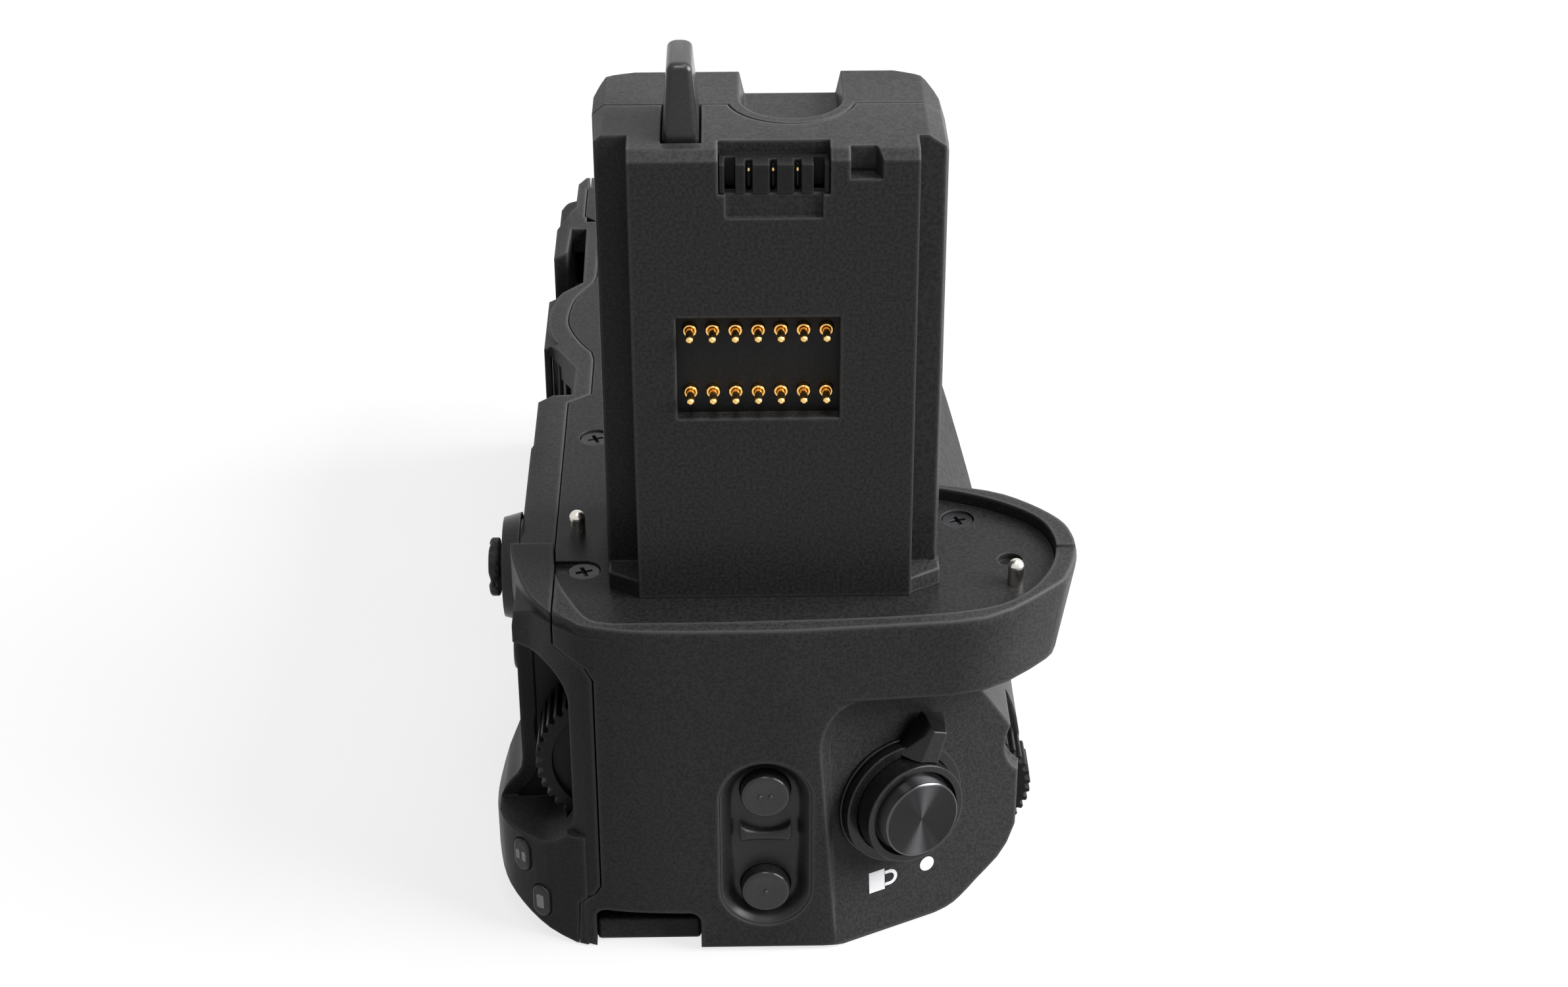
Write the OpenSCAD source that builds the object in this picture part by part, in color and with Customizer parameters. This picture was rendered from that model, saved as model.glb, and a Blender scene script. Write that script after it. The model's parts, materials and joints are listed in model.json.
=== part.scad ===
// Vertical battery grip for a mirrorless camera. A hollow body hangs under the camera, a hollow
// column (the chimney) goes up into the camera's battery chamber, and a drawer at the far end
// holds two batteries in line.
// Millimetres. Origin: mouth of the tripod socket. +Z up, +X to the shutter end, +Y to the lens.

/* [Battery and tray] */
// Length of one battery, along the tray
bat_l = 51.7; // [44:0.1:56]
// Width of one battery
bat_w = 38.7; // [34:0.1:42]
// Thickness of one battery
bat_h = 22.7; // [18:0.1:26]
// Play round a battery in its bay
bat_play = 0.3; // [0.1:0.1:0.8]
// Thickness of the tray's walls
tray_wall = 1.2; // [0.8:0.1:2]
// Thickness of the tray's floor
tray_floor = 1.5; // [1:0.1:2.5]
// Thickness of the tray's outer cap
cap_t = 3.5; // [3:0.1:6]
// Room for the latch tongue behind the cap
latch_room = 2.3; // [2:0.1:4]
// Height of the cap above the tray's rim
cap_rise = 4.1; // [3.5:0.1:6]

/* [Body] */
// Thickness of the moulded walls
wall = 2; // [1.6:0.1:2.6]
// Width of the visible seams
seam = 0.2; // [0.1:0.05:0.4]
// Play between the tray and the walls beside it
tray_play = 0.7; // [0.4:0.1:1.2]
// Tripod axis to the rear side of the battery bay
rear_y = 18; // [17:0.5:22]
// How far the rear panel with the controls stands out
rear_step = 1.4; // [0.8:0.1:2]
// Further bulge of the rear panel near the bottom
rear_bulge = 3.8; // [2:0.1:5]
// Tripod axis to the front of the belly
belly_y = 43.5; // [40:0.5:48]
// Room between the tray's inner end and the end face
end_room = 17.6; // [17:0.1:22]
// Thickness of the plate that meets the camera
plate_t = 2; // [1.6:0.1:3]
// Height of the lip round the plate
lip_h = 1.6; // [1.2:0.1:2]
// Depth of the hand-grip flange below the plate
flange_h = 9.2; // [8:0.1:10]
// Angle of the shutter platform from the end face
plat_a = 26.7; // [22:0.1:30]

/* [Chimney] */
// Tripod axis to the chimney's front panel
chim_x = 73.5; // [72:0.5:76]
// Middle of the chimney across the body
chim_y = 12; // [10:0.5:13]
// Height of the chimney above the plate
chim_h = 57.6; // [50:0.1:64]
// Depth of the chimney, front to back
chim_d = 23.3; // [22:0.1:25]
// Width over the recessed side strips
chim_w = 39.8; // [38:0.1:41]
// Width of the front panel
panel_w = 32.4; // [31:0.1:34]
// Depth of the side strips behind the front panel
strip_d = 5; // [3:0.1:6]
// Thickness of the chimney's walls
chim_wall = 1.8; // [1.4:0.1:2.4]
// Radius of the thumb notch
notch_r = 5.9; // [4.5:0.1:6.5]
// Height of the finger above the chimney
finger_h = 8.9; // [6:0.1:11]
// Width of the finger
finger_w = 4.1; // [3.4:0.1:4.6]
// Length of the finger, front to back
finger_l = 10.3; // [8:0.1:11]

/* [Spring pins] */
// Pins in one row
pin_count = 7; // [4:1:7]
// Spacing of the pins in a row
pin_pitch = 2.59; // [2.4:0.01:2.6]
// Distance between the rows
pin_rows = 7.9; // [6:0.1:8.5]
// Radius of a plunger
plunger_r = 0.45; // [0.35:0.01:0.55]
// Radius of a barrel
barrel_r = 0.8; // [0.7:0.01:1]

/* [Screws and pins] */
// Radius of the tripod socket's wall, tapping size of a quarter-inch thread
tripod_r = 2.55; // [2.4:0.01:2.8]
// Height of the tripod bush
bush_h = 8.6; // [7:0.1:10]
// Radius of the tripod bush
bush_r = 6.2; // [5:0.1:7]
// Radius of the attachment screw
screw_r = 3.175; // [3:0.005:3.4]
// Height of the attachment screw above the plate
screw_h = 4.8; // [4:0.1:6]
// Radius of the part of the screw that turns in its bush
shank_r = 2.95; // [2.6:0.05:3.1]
// Radius of the attachment wheel
wheel_r = 19; // [18.4:0.1:20]
// Thickness of the attachment wheel
wheel_h = 7; // [5:0.1:9]
// Radius of the guide pins
guide_r = 1; // [0.8:0.05:1.3]
// Height of the guide pins above the plate
guide_h = 3.3; // [2.5:0.1:4]
// Radius of the plate screws' heads
head_r = 1.9; // [1.6:0.1:2.2]

/* [Controls] */
// Radius of the shutter button
shutter_r = 5.3; // [4.8:0.1:5.6]
// Outer radius of the lock lever's ring
lever_r = 8; // [7.8:0.1:8.6]
// Reach of the lock lever's tab from its axis
lever_reach = 12; // [11:0.1:15]
// Radius of the two end buttons
end_button_r = 3; // [2.6:0.1:3.4]
// Radius of the rear dial
rear_dial_r = 10; // [9:0.1:10.4]
// Radius of the front dial
front_dial_r = 8; // [7:0.1:9]
// Width of the front dial
front_dial_w = 5; // [4:0.1:5.6]
// Radius of the joystick's cap
stick_r = 3.7; // [3:0.1:4.5]
// Width of the strap slot
strap_w = 13; // [10:0.5:14]

/* [Hidden] */
$fn = 48;
slide_gap = 0.1;     // radial play of round buttons
run_gap = 0.05;      // radial play of pins and axles
part_gap = 0.3;      // gap between pieces that move past each other

// Stack of heights from the bottom to the plate.
tray_z0 = bush_h + 0.9;
tray_z1 = tray_z0 + tray_floor + bat_h + 1.7;
cap_z0 = tray_z0 - 0.3;
cap_z1 = tray_z1 + cap_rise;
wheel_z0 = tray_z1 + 1;
wheel_z1 = wheel_z0 + wheel_h;
plate_z0 = wheel_z1 + 0.6;
plate_z = plate_z0 + plate_t;
lip_z = plate_z + lip_h;
top_z = plate_z + chim_h;
flange_z = plate_z - flange_h;
heel_z = 16.5;
lip_step = 0.3;
shoulder_z0 = plate_z - 5;
shoulder_z1 = lip_z - lip_step - 0.05;

// Places along the body, from the chimney back to the far end.
end_x = chim_x + 9.5;
tray_x1 = end_x - end_room;
bay_l = bat_l + bat_play;
bay_w = bat_w + bat_play + 0.1;
bay2_x0 = tray_x1 - tray_wall - bay_l;
bay1_x0 = bay2_x0 - tray_wall - bay_l;
tray_x0 = bay1_x0 - tray_wall - latch_room;
far_x = tray_x0 - cap_t;
body_l = end_x - far_x;

// Places across the body.
tray_y0 = -rear_y + wall + tray_play;
tray_y1 = tray_y0 + bay_w + 2 * tray_wall;
front_y = tray_y1 + tray_play + wall + 1.6;
cap_y0 = tray_y0 - 0.1;
cap_y1 = tray_y1 + 0.1;
wall_y = rear_y + 0.9;
panel_y = rear_y + rear_step;
bulge_y = panel_y + rear_bulge;

// Chimney.
chim_back = chim_x - chim_d;
chim_seam = chim_x - 13.5;
strip_x = chim_x - strip_d;
chim_y0 = chim_y - chim_w / 2;
chim_y1 = chim_y + chim_w / 2;
panel_y0 = chim_y - panel_w / 2;
panel_y1 = chim_y + panel_w / 2;
notch_x = chim_x - 15.3;
notch_y = chim_y + 2.3;
finger_x = chim_x - 8.05;
finger_y = chim_y - 10.2;
window_y = chim_y - 1.8;
window_z = top_z - 26.75;
window_w = (pin_count - 1) * pin_pitch + 3.1;
window_h = pin_rows + 5.1;
shelf_z = window_z + window_h / 2 + 1.5;
shelf_t = 1.5;
block_x = chim_x - chim_wall;
terminal_y = chim_y + 0.08;
terminal_w = 12.2;
terminal_z = top_z - 5.1;

// Shutter platform: its frame has X outwards, Y along the slope, Z up. It leans back by its tilt.
plat_x = end_x - 1.1;
plat_y = chim_y + 5.5;
plat_edge = 1.4;
plat_tilt = 4;
shutter_s = 10.5;
shutter_z = 19.15;
lever_a = 22;
collar_r = shutter_r + slide_gap + 1.2;
collar_h = 4.75;
collar_step = 3.9;
face_h = 6.3;
face_r = shutter_r - 0.3;

// Controls on the end face and at the rear.
pocket_y = chim_y - 1.37;
pocket_r = end_button_r + 2.57;
button_z = [8.85, 23.25];
button_rise = 1.9;
pocket_z = (button_z[0] + button_z[1]) / 2 + 0.2;
pocket_h = button_z[1] - button_z[0] + 10.1;
insert_x = end_x - wall;
strap_y = -3.9;
strap_z = 5.9;
strap_x0 = end_x - 12;
strap_bar_x = end_x - 5.4;
scoop_x = end_x - 13.4;
scoop_y = -12.75;
dial_y = -7.3;
dial_z = 24.5;
dial_x = [end_x - 13.1, end_x - 6.4];
front_dial_x = end_x - 21.5;
front_dial_y = belly_y + 1.1 - front_dial_r;
front_dial_z = 12.8;
stick_x = end_x - 29;
stick_z = plate_z - 7.4;
stick_pivot = -panel_y + 2.4;
rear_button_at = [end_x - 18.7, plate_z - 12.4];
oval_at = [[end_x - 5.6, -bulge_y + 3.8, 11.2], [end_x - 3.9, -bulge_y + 6, 5.3]];
oval_turn = [49, 57];
latch_y = tray_y0 + 20;
latch_z = tray_z1 - 0.9;

// Fasteners in the plate and in the base.
guide_at = [[chim_x - 15.1, -12.1], [chim_x - 2.6, 41]];
screw_at = [[chim_x - 17.7, 35.1], [chim_x - 6.6, -11], [chim_x - 39.4, -10.8]];
base_x0 = far_x + 6;
base_x1 = end_x - 17;
base_y0 = -11.5;
base_y1 = belly_y - 14;
base_ledge = 5;
base_t = 1.2;
base_screw_at = [for (x = [base_x0 + 2.5, base_x1 - 2.5], y = [base_y0 + 2.5, base_y1 - 2.5]) [x, y]];

// A point of a smooth curve through p1 and p2.
function between(p0, p1, p2, p3, t) =
    0.5 * (2 * p1 + (p2 - p0) * t + (2 * p0 - 5 * p1 + 4 * p2 - p3) * t * t
    + (3 * p1 - p0 - 3 * p2 + p3) * t * t * t);

// A smooth curve through a list of points, with n steps from each point to the next.
function curve(p, n) = concat([for (i = [0:len(p) - 2], k = [0:n - 1])
    between(p[max(i - 1, 0)], p[i], p[i + 1], p[min(i + 2, len(p) - 1)], k / n)], [p[len(p) - 1]]);

// Front edge of the body in plan: the belly swells towards the shutter end.
function belly(x) = belly_y - (belly_y - front_y) * pow((end_x - 21 - x) / (end_x - 21 - far_x), 2);

// Outline of the body seen from above.
plan = concat(
    curve([[far_x + 4, -wall_y], [far_x + 1.2, -wall_y + 1], [far_x, -wall_y + 3.4]], 4),
    curve([[far_x, front_y - 5], [far_x + 1.2, front_y - 1.6], [far_x + 5, belly(far_x + 5)]], 4),
    [for (k = [1:14]) let (x = far_x + 5 + k * (end_x - 26 - far_x) / 14)
        [x, belly(x)]],
    curve([[end_x - 12, belly_y - 1.2], [end_x - 5, belly_y - 8], [end_x - 2.2, 25], [end_x - 0.5, 19],
        [end_x, 14]], 4),
    curve([[end_x, 0], [end_x - 0.4, -6], [end_x - 1.6, -11.1], [end_x - 4.6, -14.8],
        [end_x - 7.4, -panel_y + 2], [end_x - 10, -bulge_y + 2.2], [end_x - 13.4, -bulge_y + 0.6],
        [end_x - 18.6, -bulge_y]], 3),
    curve([[end_x - 22.5, -bulge_y + 1.4], [end_x - 26, -panel_y - 1.2], [end_x - 30.5, -panel_y - 0.4],
        [end_x - 36, -panel_y]], 3),
    [[end_x - 47.4, -panel_y], [end_x - 48.6, -wall_y]]);

// The heel of the rear panel seen from above, below the thumb scoop.
heel = concat([[end_x - 18, -5], [end_x - 4, -8]],
    curve([[end_x - 1.5, -11.6], [end_x - 3.4, -16.4], [end_x - 6, -bulge_y + 3.4],
        [end_x - 9, -bulge_y + 1.3], [end_x - 13.4, -bulge_y + 0.3], [end_x - 18, -bulge_y]], 3));

// The raised shoulder at the rear corner seen from above, where the lip ends.
shoulder = concat([[end_x - 3.4, -9], [end_x - 20.5, -9]],
    curve([[end_x - 20.5, -panel_y - 0.8], [end_x - 16, -panel_y - 0.1], [end_x - 9.5, -panel_y + 1.8],
        [end_x - 5.1, -14.9], [end_x - 2.4, -11.6]], 3));

// Outline of the body seen from the end, y to the right and z up.
profile = concat(
    [[-panel_y + 2.5, plate_z]],
    curve([[-panel_y + 0.2, plate_z - 1.1], [-panel_y - 0.1, plate_z - 3.2]], 2),
    curve([[-panel_y - 0.1, 23.5], [-panel_y - 0.3, 18.8], [-bulge_y + 1.4, 15.8], [-bulge_y, 11.6],
        [-bulge_y + 0.1, 8.6], [-bulge_y + 0.9, 5.8], [-bulge_y + 3.6, 3.3], [-bulge_y + 7, 1.2],
        [-13, 0]], 3),
    curve([[belly_y - 11.5, 0], [belly_y - 9, 0.6], [belly_y - 6, 3], [belly_y - 2.1, 6.9],
        [belly_y, 14.8], [belly_y - 1, 21.5], [belly_y - 3.8, 27], [belly_y - 7.2, 32.2],
        [belly_y - 10.8, plate_z - 9], [belly_y - 14, plate_z - 5], [belly_y - 18, plate_z - 2],
        [belly_y - 22, plate_z]], 3));

// Seam of the rear cover, y to the right and z up, moved by g, less at the bottom.
function seam_line(g) = [[-12.65 + g / 4, -5], [-12.65 + g / 4, 0.7], [-12.4 + g / 2, 6.4],
    [-10.4 + g, 8.1],
    [-9.75 + g, 9.4], [-9.75 + g, plate_z - 6.1], [-10.7 + g, plate_z - 4.5], [-14.5 + g, plate_z - 2.9],
    [-14.5 + g, plate_z + 10], [-90, plate_z + 10], [-90, -5]];

// Outer edge of the hand-grip flange, inset by d towards its lower side and by e all round.
function flange_edge(d, e) = concat(
    [[end_x - 33, 20], [end_x - 20, -10.9], [end_x - 7, -14.4], [end_x - 4.9 - e, -14.4]],
    curve([[end_x - 1.6 - e, -11.1], [end_x - 0.36 - e, -6], [end_x + 0.06 - e, 0], [end_x + 0.06 - e, 8],
        [end_x + 0.04 - e, 14], [end_x - 0.9 - e - d * 0.05, 24.3],
        [end_x - 2.3 - e - d * 0.1, 36.7 - e * 0.3 - d * 0.1],
        [end_x - 9.1 - e * 0.6 - d * 0.1, 45.4 - e * 0.8 - d * 0.25],
        [end_x - 12.2 - e * 0.4, 47.5 - e - d * 0.9], [end_x - 17.2, 48.9 - e - d],
        [end_x - 20.8, 48.8 - e - d], [end_x - 24.3 + e * 0.3, 47.6 - e - d],
        [end_x - 28.4 + e * 0.7 + d * 0.2, 44 - e * 0.7 - d],
        [end_x - 31.5 + e * 0.8 + d * 0.2, 39.2 - e * 0.5 - d], [end_x - 34 + e, 30]], 3));

// Heights of the flange's outlines with their insets d and e, from the lip down.
flange_levels = [[lip_z - 0.5, 0, 0.25], [plate_z, 0, 0], [flange_z + 4.5, 0.9, 0],
    [flange_z + 1.2, 1.4, 0],
    [flange_z, 1.9, 0.1]];

// Edge of the plate that meets the camera.
plate_edge = concat(
    [[far_x + 4, -14.7], [-34, -14.7], [-31.4, -12.2], [-13.5, -12.2]],
    curve([[-11.4, -12.6], [-9.2, -13.7], [-6.1, -15], [-0.9, -15.7], [3.1, -15.3], [7.5, -13.6],
        [10.1, -12.1]], 3),
    [[12.3, -11.7], [22.2, -11.7], [24.6, -14.7]],
    curve([[end_x - 21, -14.7], [end_x - 16.5, -14.5], [end_x - 11.9, -13.8], [end_x - 6.7, -11.8],
        [end_x - 3.2, -9.8], [end_x - 2.3, -7]], 3),
    curve([[end_x - 2.3, 5.9], [end_x - 3, 24.4], [end_x - 4.6, 36.4], [end_x - 8, 41.8],
        [end_x - 12.8, 44.9],
        [end_x - 17.3, 46.2], [end_x - 20.8, 46.1], [end_x - 24.2, 44.9], [end_x - 27.1, 42.2],
        [end_x - 30, 37.6], [end_x - 32.2, 31.5], [end_x - 33.4, 22.5]], 3),
    [[far_x + 4, 22.5]]);

// Extrudes a y-z outline along X, from x0 over length l.
module along_x(x0, l) {
    translate([x0, 0, 0])
        rotate([90, 0, 90])
            linear_extrude(l)
                children();
}

// A round bar along X.
module bar_x(x0, l, r) {
    translate([x0, 0, 0])
        rotate([0, 90, 0])
            cylinder(r = r, h = l);
}

// A round bar along Y, towards the rear.
module bar_rear(y0, l, r1, r2) {
    translate([0, y0, 0])
        rotate([90, 0, 0])
            cylinder(r1 = r1, r2 = r2, h = l);
}

// A bar of the section of oval button i, grown by g, from depth d outwards over length l.
module oval_bar(i, d, l, g) {
    translate(oval_at[i])
        rotate([0, 0, oval_turn[i]])
            translate([0, d, 0])
                rotate([90, 0, 0])
                    linear_extrude(l)
                        stadium(1.25 + g, 4.6 + 2 * g);
}

// Puts its children in the shutter platform's frame.
module on_platform() {
    translate([plat_x, plat_y, shutter_z])
        rotate([0, 0, plat_a])
            rotate([0, -plat_tilt, 0])
                translate([0, 0, -shutter_z])
                    children();
}

// Puts its children on the shutter's axis, with X outwards.
module on_shutter() {
    on_platform()
        translate([0, shutter_s, shutter_z])
            children();
}

// A block with its corners rounded in plan.
module soft_rect(w, h, r) {
    offset(r = r)
        square([w - 2 * r, h - 2 * r], center = true);
}

// A slot with round ends, upright by its height.
module stadium(r, h) {
    translate([0, -h / 2 + r])
        circle(r);
    translate([0, h / 2 - r])
        circle(r);
    square([2 * r, h - 2 * r], center = true);
}

// A ribbed disc outline with n ribs.
module ribbed(r, n, depth) {
    polygon([for (i = [0:n - 1], k = [0:3])
        let (a = (i + [0, 0.15, 0.5, 0.65][k]) * 360 / n, q = r - (k == 1 || k == 2 ? 0 : depth))
        [q * cos(a), q * sin(a)]]);
}

// The body as a solid block, inset by d.
module body_block(d) {
    translate([0, 0, shoulder_z0 + d])
        linear_extrude(shoulder_z1 - shoulder_z0 - 2 * d)
            offset(delta = -d)
                polygon(shoulder);
    intersection() {
        union() {
            translate([0, 0, d])
                linear_extrude(plate_z - 2 * d)
                    offset(delta = -d)
                        polygon(plan);
            translate([0, 0, d])
                linear_extrude(heel_z - 2 * d)
                    offset(delta = -d)
                        polygon(heel);
        }
        along_x(far_x - 1, body_l + 2)
            offset(delta = -d)
                polygon(profile);
    }
}

// The flange that carries the camera's hand grip, drawn in towards its lower edge.
module flange_block() {
    hull()
        for (q = flange_levels)
            translate([0, 0, q[0]])
                linear_extrude(0.5)
                    polygon(flange_edge(q[1], q[2]));
}

// Outline of the shutter platform, along the slope and up, with its side moved by g.
module platform_outline(g) {
    hull() {
        translate([plat_edge + 7.2 - g, flange_z - 7.8])
            circle(7.2);
        translate([plat_edge - g, -10])
            square([60, 1]);
        translate([40, -10])
            square([20, flange_z + 9.4]);
    }
}

// What lies outside the sloping shutter platform, below the flange.
module platform_cut() {
    on_platform()
        // A ramp leads from the platform up to the end face.
        hull() {
            along_x(0, 0.1)
                platform_outline(0);
            along_x(3, 30)
                platform_outline(4.25);
        }
}

// What lies d or more behind the shutter platform's plane.
module inside_platform(d) {
    on_platform()
        translate([-200 - d, -150, -1])
            cube([200, 300, 100]);
}

// The hollow inside the walls, below the plate.
module cavity() {
    intersection() {
        body_block(wall);
        translate([far_x, -60, 0])
            cube([body_l, 120, plate_z0 - 2]);
        inside_platform(wall + 0.2);
    }
    translate([0, 0, plate_z0 - 3.5])
        linear_extrude(plate_t + 3)
            offset(delta = -1.5)
                polygon(plate_edge);
}

// Room for the plate, open upwards.
module plate_pocket() {
    translate([0, 0, plate_z0])
        linear_extrude(20)
            offset(delta = 0.15)
                polygon(plate_edge);
}

// Finger recesses on either side of the attachment wheel, seen from above.
recess = [[[7.5, -30], [7.5, -17.9], [14.9, -14.3], [22.4, -14.3], [23.4, -30]],
    [[-7.2, -30], [-7.2, -17.9], [-11.5, -14.2], [-29.5, -14.4], [-29.5, -16.6], [-21.5, -16.9],
    [-20.4, -30]]];
recess_z = wheel_z0 + 0.6;

// Room for the attachment wheel and the recesses.
module wheel_room() {
    translate([0, 0, wheel_z0 - 0.5])
        cylinder(r = wheel_r + 0.5, h = wheel_h + 1);
    for (q = recess)
        translate([0, 0, recess_z])
            linear_extrude(20)
                polygon(q);
}

// Floors and inner walls of the recesses.
module recess_walls() {
    intersection() {
        body_block(0);
        for (q = recess)
            translate([0, 0, wheel_z0 - 0.5])
                linear_extrude(recess_z - wheel_z0 + 0.5)
                    polygon(q);
    }
    translate([-30, -14.6, wheel_z0 - 0.5])
        cube([16.4, 2.2, plate_z0 - wheel_z0 + 0.5]);
    translate([12.4, -14.6, wheel_z0 - 0.5])
        cube([12.6, 2.7, plate_z0 - wheel_z0 + 0.5]);
    // Rim between the rear wall and the plate.
    translate([0, 0, plate_z0 - 0.1])
        linear_extrude(plate_t + 0.1)
            difference() {
                translate([-32, -14.6])
                    square([57, 3.2]);
                offset(delta = 0.15)
                    polygon(plate_edge);
            }
}

// Room for the tray's cap through the far wall.
module cap_room() {
    translate([far_x - 1, cap_y0 - part_gap, cap_z0 - part_gap])
        cube([cap_t + 1, cap_y1 - cap_y0 + 2 * part_gap, cap_z1 - cap_z0 + 2 * part_gap]);
}

// The strap slot: a pocket open downwards and to the end.
module strap_room() {
    translate([0, strap_y, 0])
        along_x(strap_x0, 20) {
            translate([-strap_w / 2, -1])
                square([strap_w, strap_z - 0.5]);
            translate([-strap_w / 2 + 1.5, -1])
                square([strap_w - 3, strap_z + 1]);
            for (y = [-1, 1])
                translate([y * (strap_w / 2 - 1.5), strap_z - 1.5])
                    circle(1.5);
        }
}

// A layer of the belly's surface, d thick, where the grip rubber lies.
module rubber_zone(d) {
    difference() {
        intersection() {
            body_block(0);
            translate([far_x + 16, 20, 0])
                cube([end_x - 44 - far_x, 40, plate_z - 9]);
            translate([far_x, 20, 4])
                cube([body_l, 40, plate_z]);
        }
        body_block(d);
    }
}

module main_shell() {
    color("#2b2b2d")
    difference() {
        union() {
            difference() {
                union() {
                    body_block(0);
                    flange_block();
                }
                cavity();
            }
            translate([strap_x0 - 1.5, strap_y - strap_w / 2 - 1.5, 0.6])
                cube([12, strap_w + 3, strap_z + 0.9]);
            for (p = base_screw_at)
                translate([p[0], p[1], wall - 0.2])
                    cylinder(r = 2.4, h = 5);
        }
        along_x(far_x - 5, body_l + 10)
            polygon(seam_line(seam));
        translate([far_x + 6, -40, plate_z - 9])
            cube([body_l - 29, 32, 30]);
        // The lip is lower beside the end face.
        translate([end_x - 18.1, -20, lip_z - lip_step])
            cube([30, 80, 5]);
        plate_pocket();
        platform_cut();
        wheel_room();
        cap_room();
        strap_room();
        rubber_zone(0.8);
        // Bottom opening with a ledge for the base plate.
        translate([base_x0 - 0.15, base_y0 - 0.15, -1])
            cube([base_x1 - base_x0 + 0.3, base_y1 - base_y0 + 0.3, base_t + 1]);
        translate([base_x0 + base_ledge, base_y0 + base_ledge, -1])
            cube([base_x1 - base_x0 - 2 * base_ledge, base_y1 - base_y0 - 2 * base_ledge, wall + 1.5]);
        for (p = base_screw_at)
            translate([p[0], p[1], -1])
                cylinder(r = 1.1, h = 7);
        // Lower edge of the end face.
        translate([0, plat_y + 10, 0])
            rotate([90, 0, 0])
                linear_extrude(plat_y + 40)
                    polygon([[end_x - 1, -1], [end_x - 1, 0], [end_x - 0.3, 0.3], [end_x, 1],
                        [end_x + 1, 1],
                        [end_x + 1, -1]]);
        // Pocket of the two end buttons.
        translate([0, pocket_y, pocket_z])
            along_x(end_x - wall - 1, 10)
                stadium(pocket_r, pocket_h);
        // Seat of the shutter collar.
        on_shutter()
            bar_x(-10, 30, shutter_r + slide_gap + 0.75);
        // Slot of the front dial.
        translate([0, front_dial_y, front_dial_z])
            bar_x(front_dial_x - part_gap, front_dial_w + 2 * part_gap, front_dial_r + 0.5);
        // Scoop above the dial for a fingertip.
        translate([0, belly_y + 2.6, front_dial_z + 8.6])
            bar_x(front_dial_x - part_gap, front_dial_w + 4, 5.4);
    }
}

module rear_cover() {
    color("#2b2b2d")
    difference() {
        union() {
            difference() {
                union() {
                    intersection() {
                        body_block(0);
                        along_x(far_x - 5, body_l + 10)
                            polygon(seam_line(0));
                    }
                    // Dome over the attachment wheel.
                    intersection() {
                        translate([0, 0, wheel_z1 + 0.5])
                            cylinder(r = wheel_r - 0.3, h = plate_z - wheel_z1 - 0.5);
                        translate([-7.4, -40, 0])
                            cube([14.8, 40 - rear_y + 1.5, 100]);
                    }
                }
                cavity();
            }
            recess_walls();
            // Tub behind the thumb scoop.
            intersection() {
                body_block(0);
                along_x(scoop_x, end_x - scoop_x)
                    intersection() {
                        translate([scoop_y - 20, dial_z + 2.95])
                            soft_rect(43, 28.9, 6.4);
                        polygon(seam_line(0));
                    }
            }
        }
        plate_pocket();
        wheel_room();
        cap_room();
        // Step of the rear wall at the far end.
        translate([0, 0, plate_z0 - 1.7])
            linear_extrude(20)
                polygon([[far_x - 1, -30], [far_x - 1, -14.6], [far_x + 2.4, -16.2], [-37.5, -16.3],
                    [-34, -17.7],
                    [-31, -19], [-31, -30]]);
        // Scoop that lets a thumb reach the rear dial.
        along_x(scoop_x, 40)
            translate([scoop_y - 20, dial_z + 2.95])
                soft_rect(40, 26.1, 5);
        translate([0, dial_y, dial_z])
            bar_x(dial_x[0] - 0.5, dial_x[1] - dial_x[0] + 1, rear_dial_r + 0.5);
        // Seats of the joystick and of the rear buttons.
        translate([stick_x, 0, stick_z])
            bar_rear(0, 40, 6.1, 6.1);
        translate([rear_button_at[0], 0, rear_button_at[1]])
            bar_rear(0, 40, 3 + slide_gap, 3 + slide_gap);
        for (i = [0, 1])
            oval_bar(i, 12, 20, slide_gap);
    }
}

// A Phillips recess, cut down from z.
module cross_slot(r, depth) {
    for (a = [0, 90])
        rotate(a)
            translate([-r, -0.22 * r, -depth])
                cube([2 * r, 0.44 * r, depth + 1]);
}

module top_plate() {
    color("#1e1e20")
    difference() {
        translate([0, 0, plate_z0])
            linear_extrude(plate_t)
                polygon(plate_edge);
        translate([0, 0, plate_z0 - 1])
            cylinder(r = 5.5, h = plate_t + 2);
        for (p = guide_at)
            translate([p[0], p[1], plate_z0 - 1])
                cylinder(r = guide_r - 0.33, h = plate_t + 2);
        for (p = screw_at) {
            translate([p[0], p[1], plate_z0 - 1])
                cylinder(r = 1.05, h = plate_t + 2);
            translate([p[0], p[1], plate_z - 1.25])
                cylinder(r = head_r + 0.15, h = 3);
        }
        // Slot from the rear screw's recess to the plate's edge.
        translate([screw_at[1][0] - 2.1, -16, plate_z - 0.6])
            cube([2.4, 5.5, 2]);
        // Blind hole beside the front guide pin.
        translate([guide_at[1][0] - 5.3, guide_at[1][1] - 0.2, plate_z - 0.9])
            cylinder(r = 1.5, h = 2);
    }
}

module base_plate() {
    color("#202022")
    difference() {
        union() {
            translate([base_x0, base_y0, 0])
                cube([base_x1 - base_x0, base_y1 - base_y0, base_t]);
            translate([base_x0 + base_ledge + 0.2, base_y0 + base_ledge + 0.2, 0])
                cube([base_x1 - base_x0 - 2 * base_ledge - 0.4,
                    base_y1 - base_y0 - 2 * base_ledge - 0.4, wall]);
        }
        translate([0, 0, -1])
            cylinder(r = bush_r, h = 10);
        for (p = base_screw_at) {
            translate([p[0], p[1], -1])
                cylinder(r = 1.1, h = 7);
            translate([p[0], p[1], -1])
                cylinder(r = 2.05, h = 1.9);
        }
    }
}

module tripod_bush() {
    color("silver")
    difference() {
        cylinder(r = bush_r, h = bush_h);
        translate([0, 0, -1])
            cylinder(r = tripod_r, h = bush_h - 0.2);
    }
}

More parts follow.
